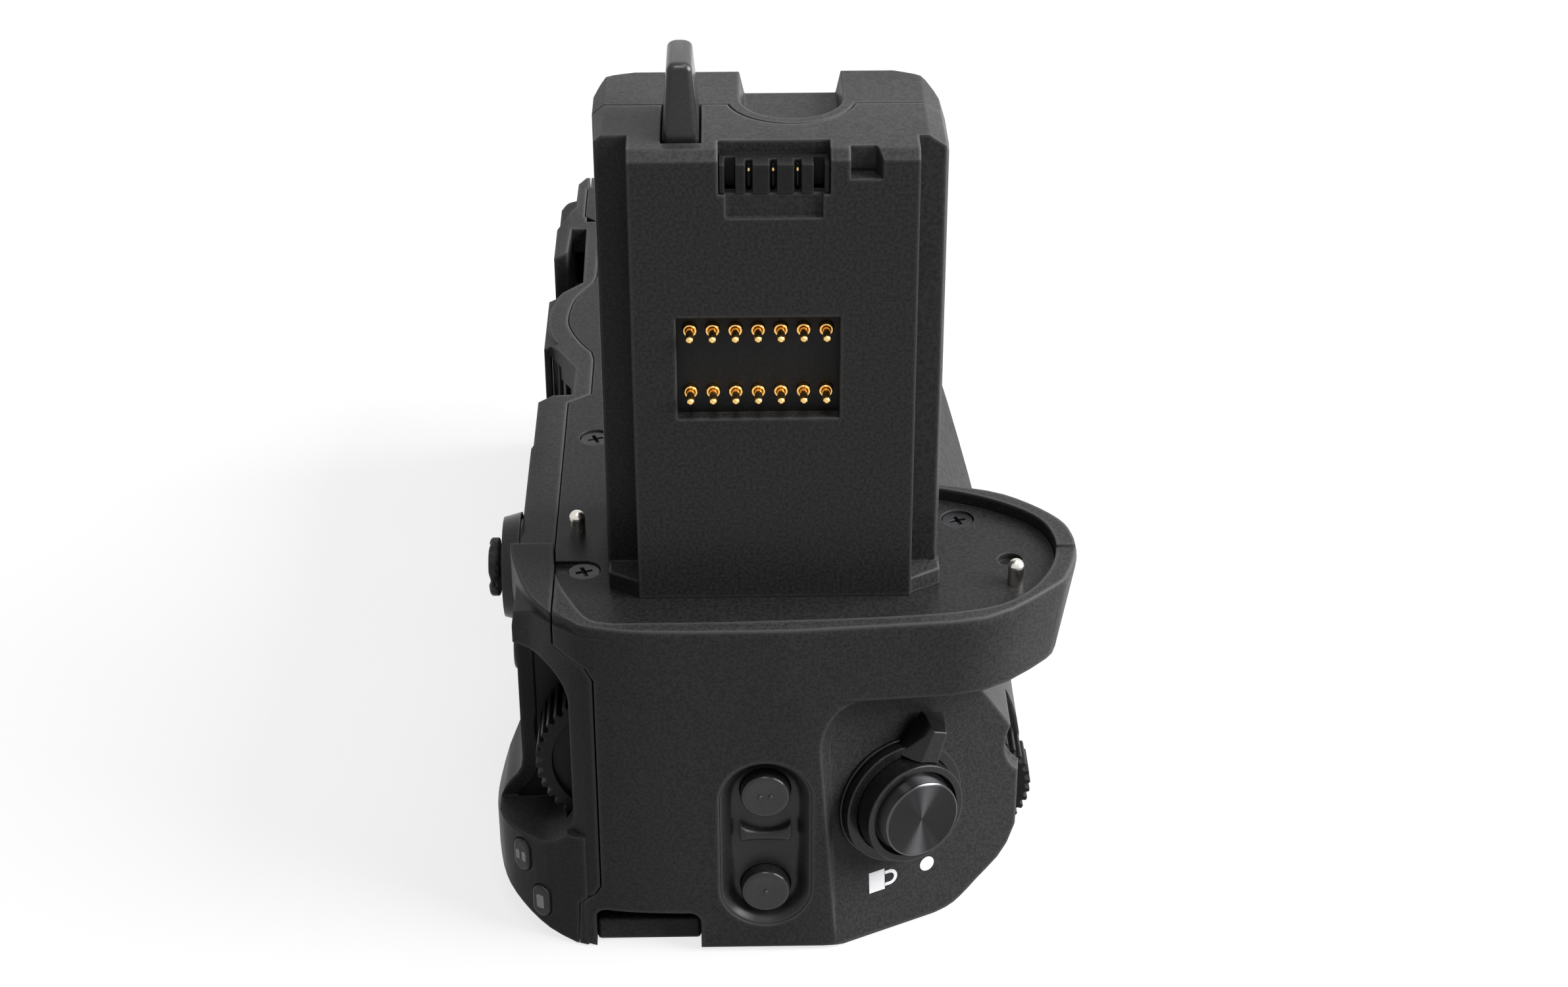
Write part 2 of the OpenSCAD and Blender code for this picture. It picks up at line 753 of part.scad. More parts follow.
// The chimney's outer form, inset by d.
module chimney_block(d) {
    intersection() {
        translate([0, 0, plate_z - (d > 0 ? 1 : 0)])
            linear_extrude(chim_h - d + (d > 0 ? 1 : 0))
                offset(delta = -d)
                    polygon(concat(
                        [[chim_x, panel_y0], [chim_x, panel_y1], [strip_x + 0.6, panel_y1],
                            [strip_x + 0.6, chim_y1 - 0.6], [strip_x - 0.1, chim_y1 - 0.25],
                            [strip_x - 4, chim_y1]],
                        curve([[chim_back + 7.5, chim_y1], [chim_back + 2.2, chim_y1 - 1.9],
                            [chim_back, chim_y1 - 5.6]], 3),
                        curve([[chim_back, chim_y0 + 4.2], [chim_back + 1.3, chim_y0 + 0.9],
                            [chim_back + 4.5, chim_y0 - 0.5]], 4),
                        [[chim_seam, chim_y0 - 0.5], [chim_seam + 1.2, chim_y0]],
                        [[strip_x, chim_y0], [strip_x, panel_y0]]));
        along_x(chim_back - 1, chim_d + 2)
            polygon([[chim_y0 - 0.5 + d, plate_z - 2], [chim_y1 - d, plate_z - 2],
                [chim_y1 - d, top_z - 3 - d],
                [chim_y1 - 0.6 - d, top_z - 1.3 - d], [chim_y1 - 2.5 - d, top_z - d],
                [chim_y0 + 0.9 + d, top_z - d], [chim_y0 - 0.5 + d, top_z - 1.2 - d]]);
        translate([0, chim_y + chim_w, 0])
            rotate([90, 0, 0])
                linear_extrude(2 * chim_w)
                    polygon([[chim_back - 1, plate_z - 2], [chim_x - d, plate_z - 2],
                        [chim_x - d, top_z - 1.1 - d],
                        [chim_x - 1.1 - d, top_z - d], [chim_back - 1, top_z - d]]);
    }
}

module chimney_front() {
    color("#262628")
    difference() {
        union() {
            difference() {
                intersection() {
                    chimney_block(0);
                    translate([chim_seam, -100, 0])
                        cube([100, 200, 300]);
                }
                chimney_block(chim_wall);
            }
            // Feet of the side strips, cut away at their outer corners.
            for (s = [-1, 1])
                translate([0, chim_y, plate_z])
                    linear_extrude(2.2)
                        polygon([[strip_x - 0.5, s * (panel_w / 2 - 0.2)],
                            [chim_x - 0.3, s * (panel_w / 2 - 0.2)],
                            [chim_x - 2.6, s * (chim_w / 2 - 0.1)],
                            [strip_x - 0.5, s * (chim_w / 2 - 0.1)]]);
            // Guide box of the finger.
            translate([chim_seam, finger_y - finger_w / 2 - 1.6, top_z - chim_wall - 9])
                difference() {
                    cube([finger_x + finger_l / 2 + 1.6 - chim_seam, finger_w + 3.2, 9.5]);
                    translate([-1, 1.4, -1])
                        cube([finger_x + finger_l / 2 + 1.2 - chim_seam, finger_w + 0.4, 20]);
                }
            // Shelf of the finger's spring, held to the front panel.
            translate([finger_x - 2.5, finger_y - 3, shelf_z])
                cube([chim_x - chim_wall - finger_x + 3, 6, shelf_t]);
        }
        // Arc that the back shell's rim fits in.
        translate([notch_x, notch_y, top_z - 6])
            cylinder(r = notch_r + 1.4 + seam, h = 10);
        // Slot of the finger.
        translate([chim_seam - 1, finger_y - finger_w / 2 - 0.2, top_z - 5])
            cube([finger_x + finger_l / 2 + 1.2 - chim_seam, finger_w + 0.4, 10]);
        // Window of the spring pins.
        translate([chim_x - 10, window_y - window_w / 2, window_z - window_h / 2])
            cube([20, window_w, window_h]);
        // Seat of the terminal block, and the smooth step below it.
        translate([chim_x - 3.4, terminal_y - terminal_w / 2 - 0.1, terminal_z])
            cube([20, terminal_w + 0.2, 20]);
        translate([chim_x - 0.5, terminal_y - terminal_w / 2 + 0.7, terminal_z - 2.8])
            cube([20, terminal_w - 1.4, 4]);
        // Key notch at the top edge.
        translate([chim_x - 1.7, chim_y + 8.5, top_z - 3.3])
            linear_extrude(10)
                polygon([[0, 0], [0, 2.8], [3, 4.2], [3, 0]]);
    }
}

module chimney_back() {
    color("#262628")
    difference() {
        union() {
            difference() {
                intersection() {
                    chimney_block(0);
                    translate([chim_seam - seam - 100, -100, 0])
                        cube([100, 200, 300]);
                }
                chimney_block(chim_wall);
            }
            intersection() {
                chimney_block(0);
                union() {
                    translate([notch_x, notch_y, top_z - 4.2])
                        cylinder(r = notch_r + 1.4, h = 10);
                    translate([chim_back, notch_y - notch_r - 1.4, top_z - 4.2])
                        cube([notch_x - chim_back, 2 * notch_r + 2.8, 10]);
                }
            }
        }
        // Thumb notch, wider at its top.
        translate([notch_x, notch_y, top_z - 2.7])
            cylinder(r1 = notch_r - 0.6, r2 = notch_r + 0.1, h = 3.15);
        translate([0, notch_y, top_z - 2.7])
            along_x(chim_back - 5, notch_x - chim_back + 5)
                polygon([[-notch_r + 0.6, 0], [notch_r - 0.6, 0], [notch_r + 0.1, 3.15],
                    [-notch_r - 0.1, 3.15]]);
    }
}

// The places of the spring pins.
pin_at = [for (k = [0:pin_count - 1], r = [-0.5, 0.5])
    [window_y + (k - (pin_count - 1) / 2) * pin_pitch, window_z + 0.4 + r * pin_rows]];

module pin_block() {
    color("#141415")
    difference() {
        translate([block_x - 4.5, window_y - window_w / 2 - 1, window_z - window_h / 2 - 1])
            cube([4.5, window_w + 2, window_h + 2]);
        for (p = pin_at)
            translate([0, p[0], p[1]])
                bar_x(block_x - 10, 20, barrel_r + 0.02);
    }
}

module pin_barrels() {
    color("gold")
    for (p = pin_at)
        translate([0, p[0], p[1]])
            difference() {
                bar_x(block_x - 5.3, 6.1, barrel_r);
                bar_x(block_x - 10, 20, plunger_r + run_gap);
            }
}

module pin_plungers() {
    color("gold")
    for (p = pin_at)
        translate([block_x - 4.3, p[0], p[1]])
            rotate([0, 90, 0])
                rotate_extrude()
                    polygon([[0, 0], [plunger_r, 0], [plunger_r, 7.1], [plunger_r * 0.85, 7.35],
                        [plunger_r * 0.5, 7.5], [0, 7.56]]);
}

// Sideways places of the terminal slots.
slot_at = [-2.8, -0.1, 2.6];

module terminal_block() {
    color("#1a1a1b")
    difference() {
        translate([chim_x - 3.3, terminal_y - terminal_w / 2, terminal_z])
            cube([3, terminal_w, top_z - terminal_z - 1.6]);
        for (s = slot_at)
            translate([chim_x - 1.9, terminal_y + s - 0.4, terminal_z - 1])
                cube([5, 0.8, 10]);
        for (s = [-4.9, 4.95])
            translate([chim_x - 2.6, terminal_y + s - 0.6, terminal_z - 1])
                cube([5, 1.2, 10]);
    }
}

module terminal_contacts() {
    color("gold")
    for (s = slot_at)
        translate([chim_x - 1.9, terminal_y + s - 0.15, terminal_z])
            cube([0.6, 0.3, top_z - terminal_z - 1.9]);
}

module finger() {
    color("#1d1d1f")
    union() {
        translate([finger_x - finger_l / 2, finger_y - finger_w / 2, top_z - chim_wall - 8])
            cube([finger_l, finger_w, chim_wall + 8.2]);
        hull() {
            translate([finger_x - finger_l / 2, finger_y - finger_w / 2, top_z + 0.1])
                cube([finger_l, finger_w, 0.1]);
            for (x = [finger_x - finger_l / 2 + 2.9, finger_x + finger_l / 2 - 1.6])
                translate([x, finger_y, top_z + finger_h - 1.1])
                    rotate([90, 0, 0])
                        cylinder(r = 1.1, h = finger_w - 1.4, center = true, $fn = 24);
        }
    }
}

module finger_spring() {
    color("silver")
    translate([finger_x, finger_y, shelf_z + shelf_t])
        difference() {
            cylinder(r = 1.9, h = top_z - chim_wall - 8 - part_gap - shelf_z - shelf_t);
            translate([0, 0, -1])
                cylinder(r = 1.4, h = 30);
        }
}

module guide_pins() {
    color("silver")
    for (p = guide_at)
        translate([p[0], p[1], plate_z0])
            rotate_extrude()
                polygon(concat([[0, 0], [guide_r - 0.35, 0], [guide_r - 0.35, plate_t], [guide_r, plate_t]],
                    [for (a = [0:15:90]) [guide_r * cos(a),
                    plate_t + guide_h - guide_r + guide_r * sin(a)]]));
}

module plate_screws() {
    color("#303032")
    for (p = screw_at)
        translate([p[0], p[1], 0])
            difference() {
                union() {
                    translate([0, 0, plate_z - 1.25])
                        cylinder(r = head_r, h = 1);
                    translate([0, 0, plate_z0 - 3])
                        cylinder(r = 1, h = plate_t + 2.4);
                }
                translate([0, 0, plate_z - 0.25])
                    rotate(20)
                        cross_slot(1.05, 0.6);
            }
}

module base_screws() {
    color("#303032")
    for (p = base_screw_at)
        translate([p[0], p[1], 0])
            difference() {
                union() {
                    translate([0, 0, 0.1])
                        cylinder(r = 1.95, h = 0.8);
                    translate([0, 0, 0.5])
                        cylinder(r = 1.05, h = 4.5);
                }
                translate([0, 0, 0.1])
                    mirror([0, 0, 1])
                        cross_slot(1.1, 0.5);
            }
}

module screw_bush() {
    color("silver")
    difference() {
        translate([0, 0, plate_z0 - 0.3])
            cylinder(r = 5.5, h = plate_t + 0.3);
        translate([0, 0, plate_z0 - 2])
            cylinder(r = shank_r + run_gap, h = plate_t + 5);
    }
}

module attachment_wheel() {
    color("#1b1b1c")
    difference() {
        translate([0, 0, wheel_z0])
            linear_extrude(wheel_h)
                ribbed(wheel_r, 60, 0.7);
        translate([0, 0, wheel_z0 - 1])
            cylinder(r = shank_r, h = wheel_h + 2);
        translate([0, 0, wheel_z1 - 2.5])
            difference() {
                cylinder(r = wheel_r - 3, h = 5);
                cylinder(r = 7, h = 5);
            }
    }
}

module attachment_screw() {
    color("silver")
    translate([0, 0, wheel_z0])
        rotate_extrude()
            polygon([[0, 0], [shank_r, 0], [shank_r, plate_z - wheel_z0 + part_gap],
                [screw_r, plate_z - wheel_z0 + part_gap], [screw_r, plate_z - wheel_z0 + screw_h - 0.6],
                [screw_r - 0.6, plate_z - wheel_z0 + screw_h], [0, plate_z - wheel_z0 + screw_h]]);
}

module battery_tray() {
    color("#242426")
    difference() {
        translate([tray_x0, tray_y0, tray_z0])
            cube([tray_x1 - tray_x0, tray_y1 - tray_y0, tray_z1 - tray_z0]);
        for (x = [bay1_x0, bay2_x0])
            translate([x, tray_y0 + tray_wall, tray_z0 + tray_floor])
                cube([bay_l, bay_w, 50]);
        // Room for the latch tongue behind the cap.
        translate([tray_x0 - 1, tray_y0 + tray_wall, tray_z0 + tray_floor])
            cube([latch_room + 1, bay_w, 50]);
        // Finger cut-out in the rib.
        translate([bay1_x0 + bay_l - 1, (tray_y0 + tray_y1) / 2 - 8, tray_z1 - 9])
            cube([tray_wall + 2, 16, 20]);
    }
}

module tray_cap() {
    color("#2b2b2d")
    difference() {
        translate([0, (cap_y0 + cap_y1) / 2, (cap_z0 + cap_z1) / 2])
            along_x(far_x, cap_t)
                soft_rect(cap_y1 - cap_y0, cap_z1 - cap_z0, 1.6);
        translate([0, latch_y, latch_z]) {
            bar_x(far_x - 1, 2.8, 4.8);
            bar_x(far_x - 1, 20, 1.5 + run_gap);
        }
        // Pull groove for a fingertip.
        translate([0, (cap_y0 + cap_y1) / 2, cap_z0 + 6])
            along_x(far_x - 1, 2.4)
                rotate(90)
                    stadium(2.5, 24);
    }
}

module latch_key() {
    color("#3a3a3c")
    translate([0, latch_y, latch_z]) {
        difference() {
            bar_x(far_x, 1.5, 4.5);
            translate([far_x - 1, -3.6, -0.6])
                cube([1.8, 7.2, 1.2]);
        }
        bar_x(far_x + 1, cap_t + latch_room - 1.6, 1.5);
        translate([tray_x0 + 0.3, 0, -1.3])
            cube([latch_room - 0.9, 7, 2.6]);
    }
}

module tray_contacts() {
    color("gold")
    for (y = [0:2])
        translate([tray_x1, tray_y0 + 20 + 3 * y, tray_z0 + 12])
            cube([0.2, tray_wall + 0.4, bat_h / 4]);
}

module tray_rails() {
    color("#303032")
    difference() {
        for (y = [base_y0 + base_ledge + wall, base_y1 - base_ledge - wall - 2.5])
            translate([base_x0 + base_ledge + 1, y, wall])
                cube([base_x1 - base_x0 - 2 * base_ledge - 2, 2.5, tray_z0 - wall - part_gap]);
        cylinder(r = bush_r + part_gap, h = 40);
    }
}

module bay_connector() {
    color("#151516")
    translate([tray_x1 + 0.6, tray_y0 + 18.5, wall])
        cube([3, 10, tray_z0 + 17]);
}

module main_board() {
    color("darkgreen")
    union() {
        translate([0, tray_y1 + 1.6, wall])
            cube([end_x - 26, 1.6, tray_z1 - 4]);
        for (x = [8, 26, 42])
            translate([x, tray_y1 + 3.2, 12])
                cube([9, 1.4, 9]);
    }
}

module button_board() {
    color("darkgreen")
    union() {
        translate([end_x - 10, pocket_y - 6, wall])
            cube([1.4, 12, button_z[1] + 3]);
        for (z = button_z)
            translate([0, pocket_y, z])
                bar_x(end_x - 8.8, 2.2, 2);
    }
}

module button_pocket() {
    color("#232325")
    difference() {
        union() {
            intersection() {
                translate([0, pocket_y, pocket_z])
                    along_x(insert_x - 1.6, 1.6)
                        stadium(pocket_r + 0.9, pocket_h + 0.5);
                inside_platform(wall + 0.3);
            }
            // Ridge that tells the two buttons apart by touch.
            difference() {
                translate([insert_x - 1, pocket_y - 3.1, button_z[1] - 7.4])
                    cube([2.4, 6.2, 3.6]);
                translate([0, pocket_y, button_z[1] - 1.3])
                    bar_x(insert_x, 10, end_button_r + 1.7);
            }
        }
        for (z = button_z)
            translate([0, pocket_y, z])
                bar_x(insert_x - 10, 20, end_button_r + slide_gap);
    }
}

// One end button at height z.
module end_button(z) {
    translate([0, pocket_y, z])
        union() {
            bar_x(insert_x - 3.6, 3.2 + button_rise, end_button_r);
            translate([insert_x + button_rise - 0.4, 0, 0])
                rotate([0, 90, 0])
                    cylinder(r1 = end_button_r, r2 = end_button_r - 0.4, h = 0.4);
        }
}

module upper_button() {
    color("#1f1f21")
    end_button(button_z[1]);
}

module lower_button() {
    color("#1f1f21")
    end_button(button_z[0]);
}

module strap_bar() {
    color("#2b2b2d")
    translate([strap_bar_x, strap_y - strap_w / 2, 0])
        cube([3, strap_w, 3.2]);
}

module shutter_collar() {
    color("#18181a")
    on_shutter()
        difference() {
            union() {
                bar_x(0, 0.5, lever_r + 0.2);
                bar_x(-wall, wall + 0.3, shutter_r + slide_gap + 0.7);
                bar_x(0.2, collar_h - 0.2, collar_r);
            }
            bar_x(-10, 30, shutter_r + slide_gap);
            bar_x(collar_step, 10, shutter_r + 0.35);
        }
}

module lock_lever() {
    color("#161617")
    on_shutter()
        difference() {
            union() {
                bar_x(0.8, 1.2, lever_r);
                // Tab, highest on its right.
                rotate([-lever_a, 0, 0])
                    hull() {
                        along_x(0.8, 1)
                            polygon([[-3.2, lever_r - 1.6], [1.9, lever_r - 1.6], [1.5, lever_reach],
                                [-1.5, lever_reach]]);
                        along_x(0.8, 3.4)
                            polygon([[-1.5, lever_r - 1.6], [1, lever_r - 1.6], [0.8, lever_reach - 1.2],
                                [-1.1, lever_reach - 1.2]]);
                    }
            }
            bar_x(-1, 10, collar_r + slide_gap);
        }
}

module shutter_button() {
    color("#8a8a8c")
    on_shutter()
        union() {
            bar_x(-3.2, 3.2 + collar_step, shutter_r);
            bar_x(0, face_h - 0.3, face_r);
            translate([face_h - 0.3, 0, 0])
                rotate([0, 90, 0])
                    cylinder(r1 = face_r, r2 = face_r - 0.3, h = 0.3);
            bar_x(-5, 2, 2);
        }
}

module release_board() {
    color("darkgreen")
    on_shutter()
        union() {
            translate([-10, -6, -7])
                cube([1.4, 9, 14]);
            for (z = [-8.2, 8.2])
                translate([0, 0, z]) {
                    bar_x(-10, 10 - wall - 0.2, 1.2);
                    translate([-10, -1.2, z > 0 ? -1.4 : 0])
                        cube([1.4, 2.4, 1.4]);
                }
        }
}

module shutter_switch() {
    color("#2a2a2c")
    on_shutter()
        translate([-8.6, -2.5, -2.5])
            cube([2.1, 5, 5]);
}

module rear_dial() {
    color("#1a1a1b")
    translate([0, dial_y, dial_z])
        difference() {
            along_x(dial_x[0], dial_x[1] - dial_x[0])
                ribbed(rear_dial_r, 40, 0.7);
            bar_x(dial_x[0] - 1, 20, 1.5 + run_gap);
            translate([dial_x[1] - 0.8, 0, 0])
                difference() {
                    bar_x(0, 5, rear_dial_r - 2);
                    bar_x(-1, 8, 3);
                }
        }
}

module rear_dial_mount() {
    color("#303032")
    union() {
        intersection() {
            body_block(wall);
            translate([scoop_x - 2, -30, dial_z - rear_dial_r - 1.7])
                cube([1.8, 29.5, plate_z - 5 - dial_z + rear_dial_r + 1.7]);
        }
        translate([0, dial_y, dial_z])
            bar_x(scoop_x - 1, dial_x[1] - scoop_x + 1.4, 1.5);
    }
}

module front_dial() {
    color("#1a1a1b")
    translate([0, front_dial_y, front_dial_z])
        difference() {
            along_x(front_dial_x, front_dial_w)
                ribbed(front_dial_r, 36, 0.6);
            bar_x(front_dial_x - 1, 20, 1.2 + run_gap);
        }
}

module front_dial_mount() {
    color("#303032")
    union() {
        intersection() {
            body_block(wall);
            for (x = [front_dial_x - 2, front_dial_x + front_dial_w + 0.5])
                translate([x, front_dial_y - 2.2, 0])
                    cube([1.5, 4.4, front_dial_z + 3]);
        }
        translate([0, front_dial_y, front_dial_z])
            bar_x(front_dial_x - 1, front_dial_w + 2, 1.2);
    }
}

module stick_boss() {
    color("#1e1e20")
    translate([stick_x, 0, stick_z])
        difference() {
            union() {
                bar_rear(-panel_y - 0.1, 2.2, 6.9, 6.3);
                bar_rear(stick_pivot + 1.3, panel_y + stick_pivot + 1.5, 6, 6);
            }
            bar_rear(0, 40, 4.8, 4.8);
            translate([-10, stick_pivot, 0])
                bar_x(0, 20, 0.6 + run_gap);
        }
}

module stick_gimbal() {
    color("silver")
    translate([stick_x, 0, stick_z])
        difference() {
            union() {
                difference() {
                    bar_rear(stick_pivot + 1, 2, 4.3, 4.3);
                    bar_rear(0, 40, 2.6, 2.6);
                }
                for (s = [-1, 1])
                    translate([s > 0 ? 3.4 : -5.8, stick_pivot, 0])
                        bar_x(0, 2.4, 0.6);
            }
            translate([0, stick_pivot, -10])
                cylinder(r = 0.6 + run_gap, h = 20);
        }
}

module stick_cap() {
    color("#1a1a1b")
    translate([stick_x, 0, stick_z])
        union() {
            bar_rear(-panel_y - 2.9, 1.3, stick_r, stick_r - 0.4);
            bar_rear(stick_pivot + 1, panel_y + stick_pivot + 4, 1.4, 1.4);
            translate([0, stick_pivot, -3.9])
                cylinder(r = 0.6, h = 7.8);
        }
}

module rear_button() {
    color("#1f1f21")
    translate([rear_button_at[0], 0, rear_button_at[1]])
        bar_rear(-panel_y + 3, 3.7, 3, 3);
}

module oval_button_a() {
    color("#1f1f21")
    oval_bar(0, 3.6, 4, 0);
}

module oval_button_b() {
    color("#1f1f21")
    oval_bar(1, 3.6, 4, 0);
}

module grip_rubber() {
    color("#1c1c1d")
    rubber_zone(0.8);
}

main_shell();
rear_cover();
top_plate();
base_plate();
tripod_bush();
chimney_front();
chimney_back();
pin_block();
pin_barrels();
pin_plungers();
terminal_block();
terminal_contacts();
finger();
finger_spring();
guide_pins();
plate_screws();
base_screws();
screw_bush();
attachment_wheel();
attachment_screw();
battery_tray();
tray_cap();
latch_key();
tray_contacts();
tray_rails();
bay_connector();
main_board();
button_board();
button_pocket();
upper_button();
lower_button();
strap_bar();
shutter_collar();
lock_lever();
shutter_button();
release_board();
shutter_switch();
rear_dial();
rear_dial_mount();
front_dial();
front_dial_mount();
stick_boss();
stick_gimbal();
stick_cap();
rear_button();
oval_button_a();
oval_button_b();
grip_rubber();
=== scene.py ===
"""Looks of a camera battery grip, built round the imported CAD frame.

Metres, in the CAD frame: origin at the tripod socket, +Z up, +X to the shutter end, +Y to the lens side.
New meshes are written in millimetres, in the axes of their own place.
"""

import json
import math

import bmesh
import bpy
from mathutils import Matrix, Vector


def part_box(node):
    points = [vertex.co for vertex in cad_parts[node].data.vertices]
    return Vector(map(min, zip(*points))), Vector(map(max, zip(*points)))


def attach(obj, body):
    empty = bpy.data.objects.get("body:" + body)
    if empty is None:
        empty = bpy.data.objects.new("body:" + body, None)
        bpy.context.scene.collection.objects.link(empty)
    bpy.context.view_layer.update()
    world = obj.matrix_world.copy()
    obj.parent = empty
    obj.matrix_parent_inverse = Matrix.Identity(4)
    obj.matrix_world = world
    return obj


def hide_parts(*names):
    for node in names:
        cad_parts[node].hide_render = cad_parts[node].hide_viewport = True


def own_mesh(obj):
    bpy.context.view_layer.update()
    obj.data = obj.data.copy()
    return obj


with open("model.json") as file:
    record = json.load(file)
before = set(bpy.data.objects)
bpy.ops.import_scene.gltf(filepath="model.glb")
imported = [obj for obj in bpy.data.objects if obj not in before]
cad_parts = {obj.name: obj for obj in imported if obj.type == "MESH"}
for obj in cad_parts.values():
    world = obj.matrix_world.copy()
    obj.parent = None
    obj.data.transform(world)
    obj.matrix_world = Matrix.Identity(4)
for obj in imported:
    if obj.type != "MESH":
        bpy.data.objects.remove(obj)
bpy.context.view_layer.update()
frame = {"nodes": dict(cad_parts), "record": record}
nodes = frame["nodes"]
MM = 0.001


# Materials

def scaled(colour, level):
    """A colour made darker or lighter, up to full white."""
    return [min(1, c * level) for c in colour]


class Shader:
    """A node material under construction: one Principled BSDF and helpers that add nodes to it.

    Noise scales are in cells per metre, depths, radii and reaches in metres.
    """

    # The part of a noise's range that holds nearly all its values.
    NOISE_SPAN = (0.3, 0.7)
    # Cosine of the surface's turn at which an edge starts to get the painted highlight, and at which it gets
    # it in full.
    EDGE_TURN = (0.98, 0.86)
    # Share of open air over a point at which it starts to get the painted highlight, and at which it gets it
    # in full.
    EDGE_AIR = (0.8, 0.98)
    EDGE_SAMPLES = 6
    AIR_SAMPLES = 4

    def __init__(self, name, colour, roughness, metallic=0.0, specular=0.5):
        self.mat = bpy.data.materials.new(name)
        self.mat.use_nodes = True
        self.tree = self.mat.node_tree
        self.bsdf = self.tree.nodes["Principled BSDF"]
        self.bsdf.inputs["Base Color"].default_value = (*colour, 1)
        self.bsdf.inputs["Roughness"].default_value = roughness
        self.bsdf.inputs["Metallic"].default_value = metallic
        self.bsdf.inputs["Specular IOR Level"].default_value = specular
        self.colour = colour
        self.roughness = roughness
        self.mat.diffuse_color = (*colour, 1)
        self.height = None
        self.coords = self.tree.nodes.new("ShaderNodeTexCoord").outputs["Object"]

    def add(self, kind, **settings):
        """A new node. A setting is one of the node's own, or else the value of its input of that name."""
        node = self.tree.nodes.new(kind)
        for key, value in settings.items():
            if hasattr(node, key):
                setattr(node, key, value)
            else:
                node.inputs[key].default_value = value
        return node

    def link(self, a, b):
        self.tree.links.new(a, b)

    def noise(self, scale, detail=2.0, rough=0.5):
        node = self.add("ShaderNodeTexNoise", Scale=scale, Detail=detail, Roughness=rough)
        self.link(self.coords, node.inputs["Vector"])
        return node.outputs["Fac"]

    def cells(self, scale):
        """Distance to the edge of the nearest cell of a random pattern."""
        node = self.add("ShaderNodeTexVoronoi", feature="DISTANCE_TO_EDGE", Scale=scale)
        self.link(self.coords, node.inputs["Vector"])
        return node.outputs["Distance"]

    def ramp(self, value, low, high, to_low=0.0, to_high=1.0):
        node = self.add("ShaderNodeMapRange")
        for key, number in zip(("From Min", "From Max", "To Min", "To Max"), (low, high, to_low, to_high)):
            node.inputs[key].default_value = number
        self.link(value, node.inputs["Value"])
        return node.outputs["Result"]

    def blend(self, factor, low, high):
        """Makes the base colour a mix of two, each given as a colour or as a socket."""
        node = self.add("ShaderNodeMix", data_type="RGBA")
        # The colour sockets of a Mix node are the ones of type RGBA.
        ends = [socket for socket in node.inputs if socket.type == "RGBA"]
        for end, colour in zip(ends, (low, high)):
            if isinstance(colour, bpy.types.NodeSocket):
                self.link(colour, end)
            else:
                end.default_value = (*colour, 1)
        self.link(factor, node.inputs["Factor"])
        mixed = [socket for socket in node.outputs if socket.type == "RGBA"][0]
        self.link(mixed, self.bsdf.inputs["Base Color"])

    def tint(self, value, share):
        """Varies the base colour by a share either way."""
        self.blend(value, scaled(self.colour, 1 - share), scaled(self.colour, 1 + share))

    def gloss(self, value, spread):
        """Varies the roughness by a spread either way."""
        varied = self.ramp(value, *self.NOISE_SPAN, self.roughness - spread, self.roughness + spread)
        self.link(varied, self.bsdf.inputs["Roughness"])

    def soft_edges(self, radius):
        """Shades sharp edges as if they had a small radius."""
        node = self.add("ShaderNodeBevel", samples=self.EDGE_SAMPLES, Radius=radius)
        self.height = node.outputs["Normal"]
        self.link(self.height, self.bsdf.inputs["Normal"])

    def painted_edge_highlight(self, reach, share):
        """Paints a highlight on the outer edges: within a reach of them the tinted base colour is lighter by
        a share.
        """
        soft = self.add("ShaderNodeBevel", samples=self.EDGE_SAMPLES, Radius=reach)
        turn = self.add("ShaderNodeVectorMath", operation="DOT_PRODUCT")
        self.link(soft.outputs["Normal"], turn.inputs[0])
        self.link(self.add("ShaderNodeNewGeometry").outputs["Normal"], turn.inputs[1])
        air = self.add("ShaderNodeAmbientOcclusion", samples=self.AIR_SAMPLES, only_local=True,
                       Distance=2 * reach)
        mask = self.add("ShaderNodeMath", operation="MULTIPLY")
        self.link(self.ramp(turn.outputs["Value"], *self.EDGE_TURN), mask.inputs[0])
        self.link(self.ramp(air.outputs["AO"], *self.EDGE_AIR), mask.inputs[1])
        tinted = self.bsdf.inputs["Base Color"].links[0].from_socket
        self.blend(mask.outputs[0], tinted, scaled(self.colour, 1 + share))

    def bump(self, value, depth, strength):
        """Adds a height map of a depth, over the bumps that came before."""
        node = self.add("ShaderNodeBump", Strength=strength, Distance=depth)
        self.link(value, node.inputs["Height"])
        if self.height is not None:
            self.link(self.height, node.inputs["Normal"])
        self.height = node.outputs["Normal"]
        self.link(self.height, self.bsdf.inputs["Normal"])


def moulded(name, colour, roughness, specular, grain=5200, depth=2.2e-5, edge=2.5e-4):
    """Moulded plastic with a spark-eroded grain and a painted highlight along its outer edges."""
    s = Shader(name, colour, roughness, specular=specular)
    s.soft_edges(edge)
    fine = s.noise(grain, detail=3.0, rough=0.6)
    cloud = s.noise(scale=90, detail=3.0, rough=0.55)
    speckle = s.ramp(s.noise(grain * 0.55), low=0.36, high=0.64)
    s.tint(speckle, share=0.3)
    # Painted highlight: the outer edges are made lighter in colour, standing in for the gloss that light
    # catches there.
    s.painted_edge_highlight(reach=edge * 2, share=1.8)
    s.gloss(cloud, spread=0.06)
    s.bump(cloud, depth=6e-6, strength=0.4)
    s.bump(fine, depth, strength=0.55)
    return s.mat


def turning_marks(s):
    """Faint stains and marks of the lathe on a metal's shader."""
    s.gloss(s.noise(scale=900, detail=3.0, rough=0.6), spread=0.05)
    s.bump(s.noise(scale=3000), depth=3e-6, strength=0.3)


def polished(name, colour, roughness, metallic=1.0):
    """Plain or plated metal."""
    s = Shader(name, colour, roughness, metallic)
    turning_marks(s)
    s.tint(s.noise(scale=420), share=0.12)
    return s.mat


